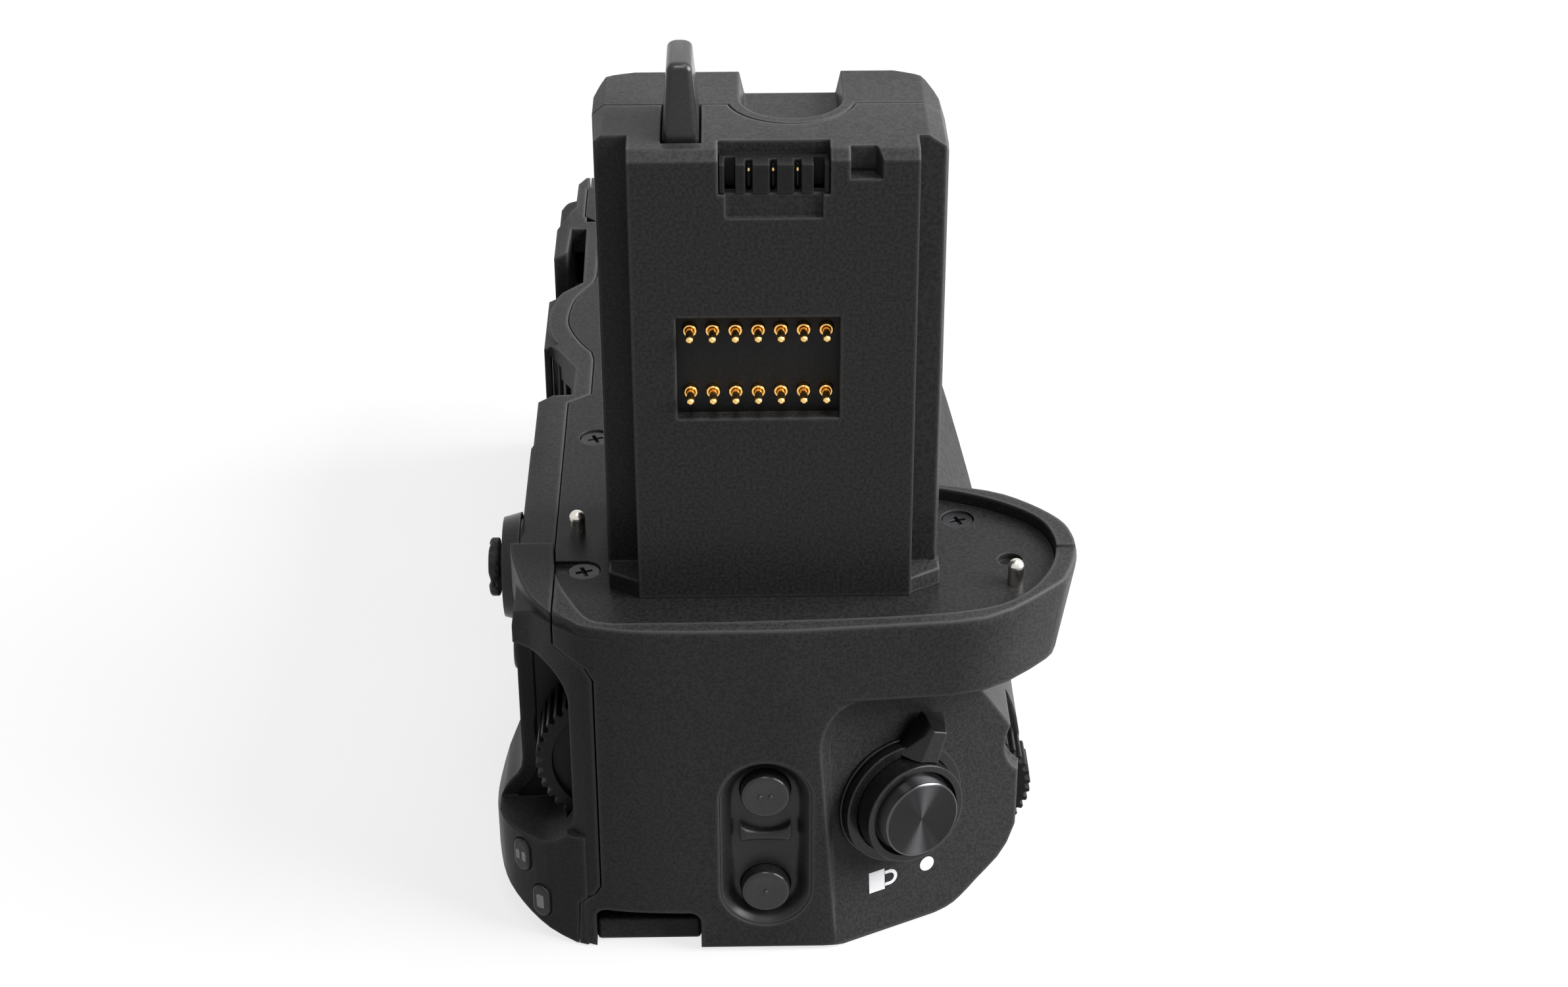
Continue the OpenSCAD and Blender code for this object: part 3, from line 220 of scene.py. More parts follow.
def gold_band_painted_shade(name, metal, plating, roughness, level, reach):
    """Spring metal, gold plated only where its contact point stands, within a reach of a level; elsewhere
    near black, as painted shade of its slots.
    """
    s = Shader(name, metal, roughness, metallic=1.0)
    place = s.add("ShaderNodeSeparateXYZ")
    s.link(s.coords, place.inputs["Vector"])
    near = s.add("ShaderNodeMath", operation="COMPARE")
    near.inputs[1].default_value = level
    near.inputs[2].default_value = reach
    s.link(place.outputs["Z"], near.inputs[0])
    # Near black away from the gold band: painted shade of the slots.
    s.blend(near.outputs[0], metal, plating)
    turning_marks(s)
    return s.mat


def leathered(name, colour, roughness):
    """Rubber skin with a pebbled grain."""
    s = Shader(name, colour, roughness, specular=0.3)
    pebbles = s.ramp(s.cells(scale=900), low=0.0, high=0.25)
    s.bump(pebbles, depth=1.3e-4, strength=0.8)
    s.bump(s.noise(scale=6000), depth=2e-5, strength=0.4)
    s.tint(s.noise(scale=240, detail=3.0), share=0.3)
    s.gloss(s.noise(scale=900), spread=0.08)
    return s.mat


def board_green(name, colour, roughness):
    """Circuit board with solder mask over copper tracks."""
    s = Shader(name, colour, roughness)
    tracks = s.ramp(s.noise(scale=700, detail=1.0), low=0.48, high=0.52)
    s.tint(tracks, share=0.35)
    s.gloss(s.noise(scale=1500), spread=0.06)
    s.bump(tracks, depth=2e-5, strength=0.5)
    return s.mat


def spun(name, colour, roughness):
    """Metal faced on a lathe: the highlight spreads across the turning marks."""
    s = Shader(name, colour, roughness, metallic=1.0)
    s.bsdf.inputs["Anisotropic"].default_value = 1.0
    s.bsdf.inputs["Anisotropic Rotation"].default_value = 0.25
    tangent = s.add("ShaderNodeTangent", direction_type="RADIAL", axis="Z")
    s.link(tangent.outputs["Tangent"], s.bsdf.inputs["Tangent"])
    wave = s.add("ShaderNodeTexWave", wave_type="RINGS", rings_direction="Z", Scale=2600.0, Distortion=0.4)
    s.link(s.coords, wave.inputs["Vector"])
    s.tint(wave.outputs["Fac"], share=0.12)
    s.bump(wave.outputs["Fac"], depth=2e-6, strength=0.5)
    return s.mat


def painted(name, colour):
    """Printed mark with slightly worn ink."""
    s = Shader(name, colour, roughness=0.5)
    worn = s.noise(scale=2500)
    s.tint(worn, share=0.06)
    s.gloss(worn, spread=0.08)
    return s.mat


BODY = moulded("body_plastic", (0.029, 0.029, 0.0298), 0.42, 0.1, edge=5e-4)
COVER = moulded("cover_plastic", (0.023, 0.023, 0.0236), 0.42, 0.1, edge=5e-4)
COLUMN = moulded("column_plastic", (0.029, 0.029, 0.0296), 0.42, 0.1, grain=4800, edge=4e-4)
PLATE = moulded("plate_plastic", (0.017, 0.017, 0.0175), 0.4, 0.1, grain=3800, depth=9e-6)
SATIN = moulded("satin_plastic", (0.022, 0.022, 0.0226), 0.34, 0.25, grain=7000, depth=9e-6)
GLOSS = moulded("gloss_plastic", (0.009, 0.009, 0.0096), 0.26, 0.3, grain=5000, depth=4e-6)
DIAL = moulded("dial_plastic", (0.0085, 0.0085, 0.009), 0.4, 0.12, grain=6500, depth=9e-6)
INNER = moulded("inner_plastic", (0.009, 0.009, 0.0095), 0.5, 0.16, grain=6000)
FINGER = moulded("finger_plastic", (0.0115, 0.0115, 0.012), 0.26, 0.4, depth=6e-6)
POCKET = moulded("pocket_plastic", (0.013, 0.013, 0.0135), 0.38, 0.3, depth=1.2e-5)
BUTTON = moulded("button_plastic", (0.015, 0.015, 0.0155), 0.24, 0.4, grain=7000, depth=5e-6)
RUBBER = leathered("grip_rubber", (0.0125, 0.0125, 0.013), 0.62)
GOLD_COLOUR = (0.86, 0.56, 0.2)
GOLD = polished("gold_plating", GOLD_COLOUR, 0.2)
STEEL = polished("turned_steel", (0.52, 0.52, 0.53), 0.3)
NICKEL = polished("nickel", (0.66, 0.63, 0.58), 0.24)
BLACKENED = polished("blackened_steel", (0.035, 0.035, 0.038), 0.34, metallic=0.85)
CHAMFER = polished("bright_chamfer", (0.075, 0.075, 0.078), 0.2)
SPUN = spun("spun_metal", (0.039, 0.039, 0.0406), 0.46)
BOARD = board_green("circuit_board", (0.015, 0.11, 0.045), 0.35)
WHITE = painted("white_ink", (0.82, 0.82, 0.84))
GREY_INK = painted("grey_ink", (0.4, 0.4, 0.41))

# The contact blades are gold plated round a level under their top; elsewhere their near-black colour is
# painted shade of their slots.
PLATED_UNDER_TOP = 0.7 * MM
PLATED_REACH = 0.18 * MM
PLATED_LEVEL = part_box("terminal_contacts")[1][2] - PLATED_UNDER_TOP
CONTACT = gold_band_painted_shade("contact_metal", (0.012, 0.012, 0.013), GOLD_COLOUR, 0.28, PLATED_LEVEL, PLATED_REACH)


# Finish of the CAD nodes

# Each CAD node's material and the width of its rounded edges in millimetres, 0 for edges as they are.
FINISH = {
    "main_shell": (BODY, 0.45), "rear_cover": (COVER, 0.4), "top_plate": (PLATE, 0.15),
    "base_plate": (BODY, 0.2), "tripod_bush": (STEEL, 0.2), "chimney_front": (COLUMN, 0.3),
    "chimney_back": (COLUMN, 0.3), "pin_block": (INNER, 0.1), "pin_barrels": (GOLD, 0.12),
    "pin_plungers": (GOLD, 0.0), "terminal_block": (INNER, 0.08), "terminal_contacts": (CONTACT, 0.05),
    "finger": (GLOSS, 0.3), "finger_spring": (STEEL, 0.0), "guide_pins": (NICKEL, 0.0),
    "plate_screws": (BLACKENED, 0.1), "base_screws": (BLACKENED, 0.1), "screw_bush": (STEEL, 0.15),
    "attachment_wheel": (SATIN, 0.12), "attachment_screw": (STEEL, 0.0), "battery_tray": (INNER, 0.15),
    "tray_cap": (BODY, 0.4), "latch_key": (SATIN, 0.2), "tray_contacts": (GOLD, 0.05),
    "tray_rails": (INNER, 0.2), "bay_connector": (INNER, 0.2), "main_board": (BOARD, 0.1),
    "button_board": (BOARD, 0.1), "button_pocket": (SATIN, 0.25), "upper_button": (SATIN, 0.25),
    "lower_button": (SATIN, 0.25), "strap_bar": (BODY, 0.5), "shutter_collar": (GLOSS, 0.2),
    "lock_lever": (GLOSS, 0.3), "shutter_button": (SPUN, 0.15), "release_board": (BOARD, 0.1),
    "shutter_switch": (INNER, 0.1), "rear_dial": (DIAL, 0.12), "rear_dial_mount": (INNER, 0.1),
    "front_dial": (DIAL, 0.12), "front_dial_mount": (INNER, 0.1), "stick_boss": (SATIN, 0.3),
    "stick_gimbal": (STEEL, 0.0), "stick_cap": (RUBBER, 0.4), "rear_button": (SATIN, 0.4),
    "oval_button_a": (SATIN, 0.3), "oval_button_b": (SATIN, 0.3), "grip_rubber": (RUBBER, 0.3),
}
WELD_REACH = 2e-6
# Faces that meet at less than the first angle become one, edges over the second are rounded; degrees.
FLAT_ANGLE = 0.4
EDGE_ANGLE = 32


def dress(name, material, bevel):
    """Gives a CAD node its material, and rounds its edges with modifiers."""
    o = nodes[name]
    o.data.materials.clear()
    o.data.materials.append(material)
    if not bevel:
        return
    if "custom_normal" in o.data.attributes:
        o.data.attributes.remove(o.data.attributes["custom_normal"])
    o.data.polygons.foreach_set("use_smooth", [True] * len(o.data.polygons))
    weld = o.modifiers.new("weld", "WELD")
    weld.merge_threshold = WELD_REACH
    flat = o.modifiers.new("planar", "DECIMATE")
    flat.decimate_type = "DISSOLVE"
    flat.angle_limit = math.radians(FLAT_ANGLE)
    edge = o.modifiers.new("edges", "BEVEL")
    edge.width = bevel * MM
    edge.segments = 2
    edge.limit_method = "ANGLE"
    edge.angle_limit = math.radians(EDGE_ANGLE)
    edge.use_clamp_overlap = True
    normal = o.modifiers.new("normals", "WEIGHTED_NORMAL")
    normal.keep_sharp = False


for name, (material, bevel) in FINISH.items():
    dress(name, material, bevel)


# Outlines and shapes, in millimetres

def arc(radius, start, end, count=24, centre=(0, 0)):
    """Points along an arc between two angles in degrees."""
    turn = [math.radians(start + (end - start) * k / count) for k in range(count + 1)]
    return [(centre[0] + radius * math.cos(a), centre[1] + radius * math.sin(a)) for a in turn]


def circle(radius, count, centre=(0, 0)):
    """A count of points round a circle."""
    return arc(radius, 0, 360 - 360 / count, count - 1, centre)


def rounded(half_x, half_y, radius, count=8):
    """Points round a rectangle with round corners."""
    points = []
    for k, (sx, sy) in enumerate(((1, 1), (-1, 1), (-1, -1), (1, -1))):
        corner = (sx * (half_x - radius), sy * (half_y - radius))
        points += arc(radius, 90 * k, 90 * k + 90, count, corner)
    return points


def slot_ring(radius, half, count=28):
    """Points round an upright slot with round ends, whose centres lie half a length from its middle."""
    top = arc(radius, 0, 180, count, (0, half))
    return top + [(-x, -y) for x, y in top]


def flat_shape(points, thick):
    """A thin plate of an outline, with its back on the surface."""
    n = len(points)
    verts = [(x, y, 0) for x, y in points] + [(x, y, thick) for x, y in points]
    faces = [tuple(range(n, 2 * n)), tuple(range(n - 1, -1, -1))]
    faces += [(k, (k + 1) % n, n + (k + 1) % n, n + k) for k in range(n)]
    return verts, faces


def loft(rings):
    """A closed skin over rings of as many points each, with a cap on both ends."""
    n = len(rings[0])
    verts = [point for ring in rings for point in ring]
    last = len(verts) - n
    faces = [tuple(range(n - 1, -1, -1)), tuple(range(last, len(verts)))]
    for start in range(0, last, n):
        for k in range(n):
            a, b = start + k, start + (k + 1) % n
            faces.append((a, b, b + n, a + n))
    return verts, faces


def spin(rows, segments=96):
    """A surface turned about Z.

    Each row is a radius and a height, as plain numbers or as functions of the angle.
    """
    verts, faces, rings = [], [], []
    for radius, height in rows:
        if radius == 0:
            verts.append((0, 0, height))
            rings.append([len(verts) - 1] * segments)
            continue
        ring = []
        for k in range(segments):
            a = 2 * math.pi * k / segments
            r = radius(a) if callable(radius) else radius
            h = height(a) if callable(height) else height
            ring.append(len(verts))
            verts.append((r * math.cos(a), r * math.sin(a), h))
        rings.append(ring)
    for low, high in zip(rings, rings[1:]):
        for k in range(segments):
            j = (k + 1) % segments
            corners = [low[k], low[j], high[j], high[k]]
            faces.append(list(dict.fromkeys(corners)))
    return verts, [f for f in faces if len(f) > 2]


# Quarter-inch camera thread: radius of the crests and pitch.
CREST, PITCH = 3.15, 1.27


def thread(root, z0, z1, step=0.1):
    """Rows of a camera thread with a root radius, from z0 to z1, for spin."""

    def climbing(z):
        """The radius at a height, by the angle."""
        return lambda a: root + (CREST - root) * abs(2 * ((z / PITCH - a / (2 * math.pi)) % 1) - 1)

    heights = [z0 + k * step for k in range(round((z1 - z0) / step) + 1)]
    return [(climbing(z), z) for z in heights]


# Places and pieces

SIDE, DEEP, UP = Vector((1, 0, 0)), Vector((0, 1, 0)), Vector((0, 0, 1))


def frame_at(origin, right, up):
    """A place with X to the right, Y up and Z outwards; the origin is in metres."""
    x, y = Vector(right).normalized(), Vector(up).normalized()
    m = Matrix((x, y, x.cross(y))).transposed().to_4x4()
    m.translation = Vector(origin)
    return m


def shifted(place, x, y, z=0.0):
    """A place moved along its own axes, by millimetres."""
    return place @ Matrix.Translation((x * MM, y * MM, z * MM))


def box(name):
    """Lowest and highest corner of a CAD node, in metres."""
    return [Vector(v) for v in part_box(name)]


def middle(name):
    """Middle of a CAD node's box, in metres."""
    low, high = box(name)
    return (low + high) / 2


def foot(name):
    """Middle of the lower face of a CAD node's box, in metres."""
    return Vector((*middle(name).xy, box(name)[0].z))


def piece(name, shape, place, material, body, replaces=None, sharp=35):
    """A new mesh in the place's own axes, that rides on a body. Edges over sharp degrees stay sharp."""
    verts, faces = shape
    mesh = bpy.data.meshes.new(name)
    mesh.from_pydata([Vector(v) * MM for v in verts], [], faces)
    mesh.validate()
    b = bmesh.new()
    b.from_mesh(mesh)
    bmesh.ops.recalc_face_normals(b, faces=b.faces)
    b.to_mesh(mesh)
    b.free()
    mesh.polygons.foreach_set("use_smooth", [True] * len(mesh.polygons))
    mesh.set_sharp_from_angle(angle=math.radians(sharp))
    mesh.materials.append(material)
    o = bpy.data.objects.new(name, mesh)
    bpy.context.scene.collection.objects.link(o)
    o.matrix_world = place
    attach(o, body)
    if replaces:
        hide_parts(replaces)
    return o


JOINTS = {j["name"]: j for j in frame["record"]["behaviour"]["joints"]}
OUT = Vector(JOINTS["lock_turn"]["axis"]).normalized()
ACROSS = UP.cross(OUT).normalized()
SHUTTER = frame_at(JOINTS["lock_turn"]["pos_m"], ACROSS, OUT.cross(ACROSS))


def shutter_release():
    """Spun metal button: dished face, bright chamfer and a plain skirt over a stem."""
    stem, skirt, rim = 2.0, 5.3, 5.0
    stem_end, skirt_end, step, top = -5.0, -3.0, 3.9, 6.3
    chamfer_foot = top - 0.3
    rows = [
        (0, stem_end), (stem, stem_end), (stem, skirt_end), (skirt - 0.1, skirt_end),
        (skirt, skirt_end + 0.1), (skirt, step), (rim, step), (rim, chamfer_foot),
        (rim - 0.03, top - 0.2), (rim - 0.24, top - 0.02), (rim - 0.32, top),
        (rim - 0.42, top - 0.02), (rim - 1.4, top - 0.1), (0, top - 0.22),
    ]
    o = piece("shutter_face", spin(rows, 128), SHUTTER, SPUN, "release", "shutter_button", 30)
    o.data.materials.append(CHAMFER)
    # Above the chamfer's foot, faces that lean more than the dished face belong to the chamfer.
    lean = 0.93
    for face in o.data.polygons:
        if face.center.z > chamfer_foot * MM and abs(face.normal.z) < lean:
            face.material_index = 1


# Height of the end buttons over the floor of their pocket, and of the pocket's middle over theirs.
BUTTON_RISE = 1.9
POCKET_LIFT = 0.2


def end_buttons():
    """The two round buttons, dished, each with a raised dot or two to tell them apart by touch."""
    radius, back, dot_radius, dot_place = 3.0, -3.6, 0.3, 0.65
    # Inset from the wall and depth under the dots' tops, up over the lip and down to the middle.
    lip = [(0.0, 0.5), (0.05, 0.32), (0.2, 0.16), (0.42, 0.08), (0.7, 0.1), (1.3, 0.2), (radius, 0.28)]
    dome = [(0.0, 0.4), (0.0, 0.2), (0.04, 0.1), (0.14, 0.02), (dot_radius, 0.0)]
    rows = [(0, back), (radius, back)]
    rows += [(radius - inset, BUTTON_RISE - depth) for inset, depth in lip]
    dot = [(dot_radius - inset, BUTTON_RISE - depth) for inset, depth in dome]
    for body, dots in (("upper_button", (-dot_place, dot_place)), ("lower_button", (0,))):
        seat = middle(body)
        seat.x = box(body)[1].x - BUTTON_RISE * MM
        place = frame_at(seat, DEEP, UP)
        piece(body + "_cap", spin(rows), place, BUTTON, body, body)
        for k, x in enumerate(dots):
            piece(f"{body}_dot_{k}", spin(dot, 24), shifted(place, x, 0), BUTTON, body)


def pocket_seat():
    """The place of the pocket's floor, and the heights there of the lower and the upper button."""
    heights = [middle(name).z for name in ("lower_button", "upper_button")]
    centre = sum(heights) / 2 + POCKET_LIFT * MM
    floor_x = box("upper_button")[1].x - BUTTON_RISE * MM
    place = frame_at((floor_x, middle("upper_button").y, centre), DEEP, UP)
    return place, [(z - centre) / MM for z in heights]


def pocket_liner():
    """The sunk pocket of the end buttons: soft walls that run into the floor, and a hole for each button."""
    place, heights = pocket_seat()
    radius, half, rim, back = 5.55, 6.68, 2.0, -1.6
    hole, hole_points = 3.12, 48
    # Inset from the pocket's outside and height over the floor, from the floor's edge to the rim and
    # down the outside.
    section = [(2.1, 0.0), (1.8, 0.03), (1.55, 0.12), (1.35, 0.3), (0.9, 0.9), (0.3, 1.66), (0.14, 1.82),
               (0.03, rim - 0.1), (0.0, rim - 0.16), (0.0, back)]
    bm = bmesh.new()

    def ring(points, height):
        return [bm.verts.new((x, y, height)) for x, y in points]

    def wall(a, b):
        for k in range(len(a)):
            bm.faces.new((a[k], a[k - 1], b[k - 1], b[k]))

    rings = [ring(slot_ring(radius - inset, half), height) for inset, height in section]
    for low, high in zip(rings, rings[1:]):
        wall(low, high)
    holes = []
    for level in (0.0, back):
        holes.append([ring(circle(hole, hole_points, (0, y)), level) for y in heights])
    for front, rear in zip(*holes):
        wall(front, rear)
    for outline, inner in zip((rings[0], rings[-1]), holes):
        edges = []
        for loop in [outline] + inner:
            edges += [bm.edges.get((loop[k], loop[k - 1])) for k in range(len(loop))]
        bmesh.ops.triangle_fill(bm, use_beauty=True, use_dissolve=False, edges=edges)
    bm.verts.ensure_lookup_table()
    shape = ([tuple(v.co) for v in bm.verts], [[v.index for v in f.verts] for f in bm.faces])
    bm.free()
    piece("pocket_liner", shape, place, POCKET, "grip", "button_pocket", 40)


def touch_ridge():
    """The ridge between the end buttons: straight below, hollowed round the upper button, with a dip."""
    place, (_, upper) = pocket_seat()
    half_width, crown, dip, sunk = 3.1, 1.25, 0.45, -0.2
    hollow, hollow_radius = upper - 1.3, 4.7
    low_edge, end_share, steps = upper - 7.4, 0.75, 17
    rings = []
    for k in range(steps):
        x = half_width * (2 * k / (steps - 1) - 1)
        high_edge = hollow - math.sqrt(hollow_radius ** 2 - x * x)
        top = crown - dip * (1 - (x / half_width) ** 2)
        if k in (0, steps - 1):
            top *= end_share
        section = [
            (low_edge, sunk), (low_edge + 0.05, 0.55 * top), (low_edge + 0.4, 0.9 * top),
            (low_edge + 0.9, top), (high_edge - 0.5, top),
            (high_edge - 0.15, 0.85 * top), (high_edge, 0.5 * top), (high_edge, sunk),
        ]
        rings.append([(x, y, height) for y, height in section])
    piece("touch_ridge", loft(rings), place, POCKET, "grip", sharp=50)


def camera_screw():
    """The quarter-inch screw that draws the grip to the camera."""
    low, high = box("attachment_screw")
    place = frame_at((0, 0, low.z), SIDE, DEEP)
    shank, root, tip, threaded = 2.95, 2.5, 2.2, 4.4
    top = (high.z - low.z) / MM
    start = top - threaded
    rows = [(0, 0), (shank, 0), (shank, start - 0.3), (root, start - 0.1)]
    rows += thread(root, start, top - 0.6) + [(root, top - 0.35), (tip, top), (0, top)]
    piece("camera_screw", spin(rows, 64), place, STEEL, "drive", "attachment_screw", 40)


def tripod_socket():
    """The threaded bush in the base, closed at its top."""
    low, high = box("tripod_bush")
    place = frame_at((0, 0, low.z), SIDE, DEEP)
    root, bore, mouth, outside = 2.56, 2.6, 3.3, 6.2
    top = (high.z - low.z) / MM
    rows = [(0, top - 1.2), (bore, top - 1.2), (bore, top - 1.4)] + thread(root, 0.6, top - 1.5)[::-1]
    rows += [(mouth, 0.0), (outside - 0.3, 0.0), (outside, 0.25), (outside, top - 0.2),
             (outside - 0.2, top), (0, top)]
    piece("tripod_socket", spin(rows, 64), place, STEEL, "grip", "tripod_bush", 40)


def joystick():
    """Ribbed cap of the joystick, with a hollow for the fingertip, and the pin that it tilts on."""
    pivot = Vector(JOINTS["stick_tilt_side"]["pos_m"])
    low, high = box("stick_cap")
    top = (pivot.y - low.y) / MM
    r = (high.x - low.x) / 2 / MM
    stem, stem_end, under = 1.4, -1.0, top - 1.3
    flute, shallow, grooves = 0.05, 0.03, 4
    pin, pin_half = 0.6, 3.9

    def lobed(radius, share):
        """A radius with narrow flutes, two to each groove."""
        return lambda a: radius * (1 - share * (0.5 - 0.5 * math.cos(2 * grooves * a)) ** 4)

    def crossed(height, fall):
        """A height with grooves across it."""
        return lambda a: height - fall * max(0.0, math.cos(grooves * a)) ** 3

    rows = [
        (0, stem_end), (stem, stem_end), (stem, under),
        (lobed(r - 0.15, flute), under), (lobed(r, flute), top - 1.15),
        (lobed(r, flute), crossed(top - 0.35, 0.1)), (lobed(r - 0.25, flute), crossed(top - 0.08, 0.2)),
        (lobed(r - 0.6, shallow), crossed(top, 0.3)), (r - 1.2, crossed(top - 0.15, 0.3)),
        (r - 2.2, top - 0.45), (0, top - 0.55),
    ]
    place = frame_at(pivot, SIDE, UP)
    piece("joystick_cap", spin(rows), place, RUBBER, "stick_cap", "stick_cap", 45)
    rows = [(0, -pin_half), (pin, -pin_half), (pin, pin_half), (0, pin_half)]
    place = frame_at(pivot, SIDE, DEEP)
    piece("joystick_pivot", spin(rows, 24), place, STEEL, "stick_cap")


def sprung_finger():
    """The sprung finger on the chimney: a plain foot, then a taper to a soft rounded top."""
    low, high = box("finger")
    size = (high - low) / MM
    taper, fillet, corner, corner_share = 8.8, 0.95, 0.7, 0.7
    start, shoulder = size.z - taper, size.z - fillet
    # How far the front, the back and each flank have drawn in at the shoulder.
    draw = (0.45, 1.6, 0.62)
    taper_steps, fillet_steps = 5, 6
    rows = [(0.0, (0.0, 0.0, 0.0))]
    for k in range(taper_steps + 1):
        share = k / taper_steps
        rows.append((start + (shoulder - start) * share, [d * share for d in draw]))
    for k in range(1, fillet_steps + 1):
        a = math.radians(90 * k / fillet_steps)
        rows.append((shoulder + fillet * math.sin(a), [d + fillet * (1 - math.cos(a)) for d in draw]))
    rings = []
    for height, (front, back, flank) in rows:
        half_x, half_y = (size.x - front - back) / 2, size.y / 2 - flank
        outline = rounded(half_x, half_y, min(corner, corner_share * half_y))
        rings.append([(x + (back - front) / 2, y, height) for x, y in outline])
    place = frame_at(foot("finger"), SIDE, DEEP)
    piece("sprung_finger", loft(rings), place, FINGER, "finger", "finger", 40)


def coil_spring():
    """The coil under the sprung finger, at its length at rest; here it does not shorten with the finger."""
    low, high = box("finger_spring")
    height = (high.z - low.z) / MM
    radius, wire, turns, steps, sides = 1.65, 0.24, 7, 28, 8
    # The end turns lie flat against their seats.
    flat_turns = 0.8
    rings = []
    for k in range(turns * steps + 1):
        turn = k / steps
        rise = min(max((turn - flat_turns) / (turns - 2 * flat_turns), 0.0), 1.0)
        a, z = 2 * math.pi * turn, wire + (height - 2 * wire) * rise
        section = circle(wire, sides, (radius, z))
        rings.append([(r * math.cos(a), r * math.sin(a), h) for r, h in section])
    seat = foot("finger_spring")
    place = frame_at(seat, SIDE, DEEP)
    o = piece("coil_spring", loft(rings), place, STEEL, "grip", "finger_spring", 50)
    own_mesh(o)


# Printed marks: the gap under them and their thickness.
INK_LIFT, INK = 0.01, 0.03


def platform_marks():
    """White index dot and a plain padlock sign, printed on the shutter platform."""
    # Places from the shutter's middle, across and along the platform.
    dot_place, lock_place = (4.1, -11.41), (-2.3, -11.55)
    dot_radius, half_width, bottom, top = 1.0, 1.5, -1.9, 0.3
    shackle_out, shackle_in, shackle_foot, shackle_bend = 1.1, 0.65, 0.35, 1.0
    surface = shifted(SHUTTER, 0, 0, INK_LIFT)
    dot = flat_shape(circle(dot_radius, 48), INK)
    piece("index_dot", dot, shifted(surface, *dot_place), WHITE, "grip")
    lock = shifted(surface, *lock_place) @ Matrix.Rotation(math.radians(-90), 4, "Z")
    body = [(-half_width, bottom), (half_width, bottom), (half_width, top), (-half_width, top)]
    piece("lock_sign_body", flat_shape(body, INK), lock, WHITE, "grip")
    bend = (0, shackle_bend)
    shackle = [(shackle_out, shackle_foot)] + arc(shackle_out, 0, 180, centre=bend)
    shackle += [(-shackle_out, shackle_foot), (-shackle_in, shackle_foot)]
    shackle += arc(shackle_in, 180, 0, centre=bend) + [(shackle_in, shackle_foot)]
    piece("lock_sign_shackle", flat_shape(shackle, INK), lock, WHITE, "grip")


def oval_marks():
    """Plain light signs on the two oval buttons: two bars and a patch."""
    bar = rounded(half_x=0.3, half_y=0.7, radius=0.2, count=6)
    patch = rounded(half_x=0.55, half_y=1.0, radius=0.3, count=6)
    for letter, outline, places in (("a", bar, (-0.5, 0.5)), ("b", patch, (0.0,))):
        button = f"oval_button_{letter}"
        out = -Vector(JOINTS[f"oval_{letter}_press"]["axis"]).normalized()
        level = max(v.co.dot(out) for v in nodes[button].data.vertices)
        centre = middle(button)
        centre += out * (level + INK_LIFT * MM - centre.dot(out))
        right = UP.cross(out).normalized()
        place = frame_at(centre, right, out.cross(right))
        for k, x in enumerate(places):
            mark = flat_shape(outline, INK)
            spot = shifted(place, x, 0)
            piece(f"oval_mark_{letter}_{k}", mark, spot, GREY_INK, f"oval_{letter}")


shutter_release()
end_buttons()
pocket_liner()
touch_ridge()
camera_screw()
tripod_socket()
joystick()
sprung_finger()
coil_spring()
platform_marks()
oval_marks()


# Studio and camera

# The floor's reach and its drop under the part, in metres, and its grey and its glow where it is seen.
FLOOR_REACH, FLOOR_DROP = 3.0, 0.0003
FLOOR_GREY, FLOOR_GLOW = 0.2, 0.78
# Strength of the world's light, and of the world where it is seen.
WORLD_LIGHT, WORLD_WHITE = 0.05, 1.0
# Each soft box: its place, its width and height in metres and its power in watts.
SOFT_BOXES = {
    "top_box": ((-0.1, 0.3, 0.95), (0.4, 0.4), 2),
    "front_box": ((0.35, 0.0, 0.9), (0.3, 0.3), 2.2),
    "back_box": ((-0.85, 0.15, 0.6), (0.9, 0.5), 0.4),
    "left_box": ((0.2, -0.85, 0.5), (0.4, 0.6), 0.1),
    "right_box": ((0.13, 0.85, 0.58), (0.9, 0.7), 27),
}
LIT_POINT = Vector((0.03, 0.01, 0.05))


def seen_rays(tree):
    """One for rays that show the background: from the camera, in a gloss or through glass."""
    path = tree.nodes.new("ShaderNodeLightPath")
    total = path.outputs["Is Camera Ray"]
    for kind in ("Is Glossy Ray", "Is Transmission Ray"):
        both = tree.nodes.new("ShaderNodeMath")
        both.operation = "MAXIMUM"
        tree.links.new(total, both.inputs[0])
        tree.links.new(path.outputs[kind], both.inputs[1])
        total = both.outputs[0]
    return total


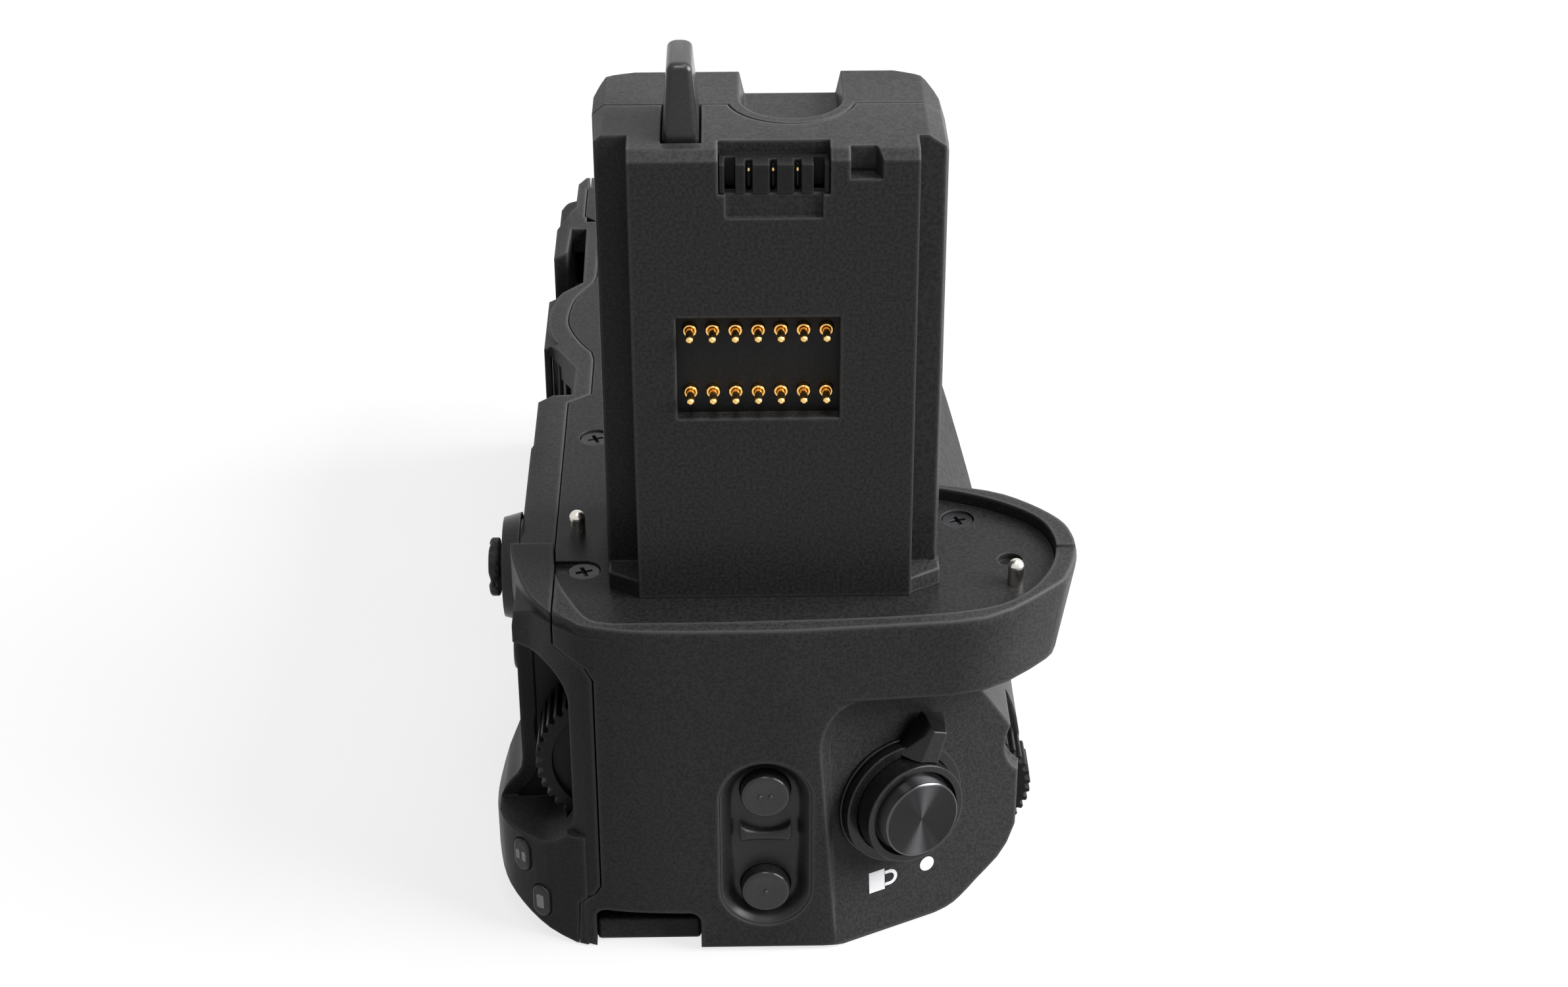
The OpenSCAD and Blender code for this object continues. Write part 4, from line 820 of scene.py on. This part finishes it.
def pale_floor():
    """A pale floor that glows where it is seen and keeps the part's shadow."""
    mesh = bpy.data.meshes.new("floor")
    corners = [(sx * FLOOR_REACH, sy * FLOOR_REACH, 0) for sx, sy in ((-1, -1), (1, -1), (1, 1), (-1, 1))]
    mesh.from_pydata(corners, [], [(0, 1, 2, 3)])
    floor = bpy.data.objects.new("floor", mesh)
    floor.location.z = -FLOOR_DROP
    bpy.context.scene.collection.objects.link(floor)
    mat = bpy.data.materials.new("pale_floor")
    mat.use_nodes = True
    tree = mat.node_tree
    bsdf = tree.nodes["Principled BSDF"]
    bsdf.inputs["Base Color"].default_value = (FLOOR_GREY, FLOOR_GREY, FLOOR_GREY, 1)
    bsdf.inputs["Roughness"].default_value = 0.9
    bsdf.inputs["Specular IOR Level"].default_value = 0.1
    glow = tree.nodes.new("ShaderNodeMath")
    glow.operation = "MULTIPLY"
    glow.inputs[1].default_value = FLOOR_GLOW
    tree.links.new(seen_rays(tree), glow.inputs[0])
    bsdf.inputs["Emission Color"].default_value = (1, 1, 1, 1)
    tree.links.new(glow.outputs[0], bsdf.inputs["Emission Strength"])
    mesh.materials.append(mat)


def white_world():
    """Surroundings that are white where they are seen, and add a little light."""
    world = bpy.data.worlds.new("studio")
    bpy.context.scene.world = world
    world.use_nodes = True
    tree = world.node_tree
    back = tree.nodes["Background"]
    seen = tree.nodes.new("ShaderNodeMapRange")
    seen.inputs["To Min"].default_value = WORLD_LIGHT
    seen.inputs["To Max"].default_value = WORLD_WHITE
    tree.links.new(seen_rays(tree), seen.inputs["Value"])
    back.inputs["Color"].default_value = (1, 1, 1, 1)
    tree.links.new(seen.outputs["Result"], back.inputs["Strength"])


def soft_box(name, place, size, watts):
    """A lamp with an even face that is turned to the part."""
    data = bpy.data.lights.new(name, "AREA")
    data.energy = watts
    data.shape = "RECTANGLE"
    data.size, data.size_y = size
    o = bpy.data.objects.new(name, data)
    o.location = place
    o.rotation_mode = "QUATERNION"
    o.rotation_quaternion = (LIT_POINT - Vector(place)).to_track_quat("-Z", "Y")
    bpy.context.scene.collection.objects.link(o)


def camera():
    """The photograph's viewpoint, as fitted: its focal length and width are in the photograph's pixels."""
    place, focal, width = (0.36585, 0.00733, 0.2325), 4413.27, 2383
    pitch, yaw, roll = math.radians(30.491), math.radians(1.132), math.radians(-0.067)
    look = Vector((-math.cos(pitch) * math.cos(yaw), math.cos(pitch) * math.sin(yaw), -math.sin(pitch)))
    data = bpy.data.cameras.new("camera")
    data.sensor_fit = "HORIZONTAL"
    data.sensor_width = 36.0
    data.lens = focal / width * data.sensor_width
    data.clip_start = 0.01
    data.clip_end = 50
    o = bpy.data.objects.new("camera", data)
    o.location = place
    o.rotation_mode = "QUATERNION"
    o.rotation_quaternion = look.to_track_quat("-Z", "Y") @ Matrix.Rotation(roll, 3, "Z").to_quaternion()
    bpy.context.scene.collection.objects.link(o)
    bpy.context.scene.camera = o


pale_floor()
white_world()
for name, (place, size, watts) in SOFT_BOXES.items():
    soft_box(name, place, size, watts)
camera()
bpy.context.scene.view_settings.view_transform = "Standard"
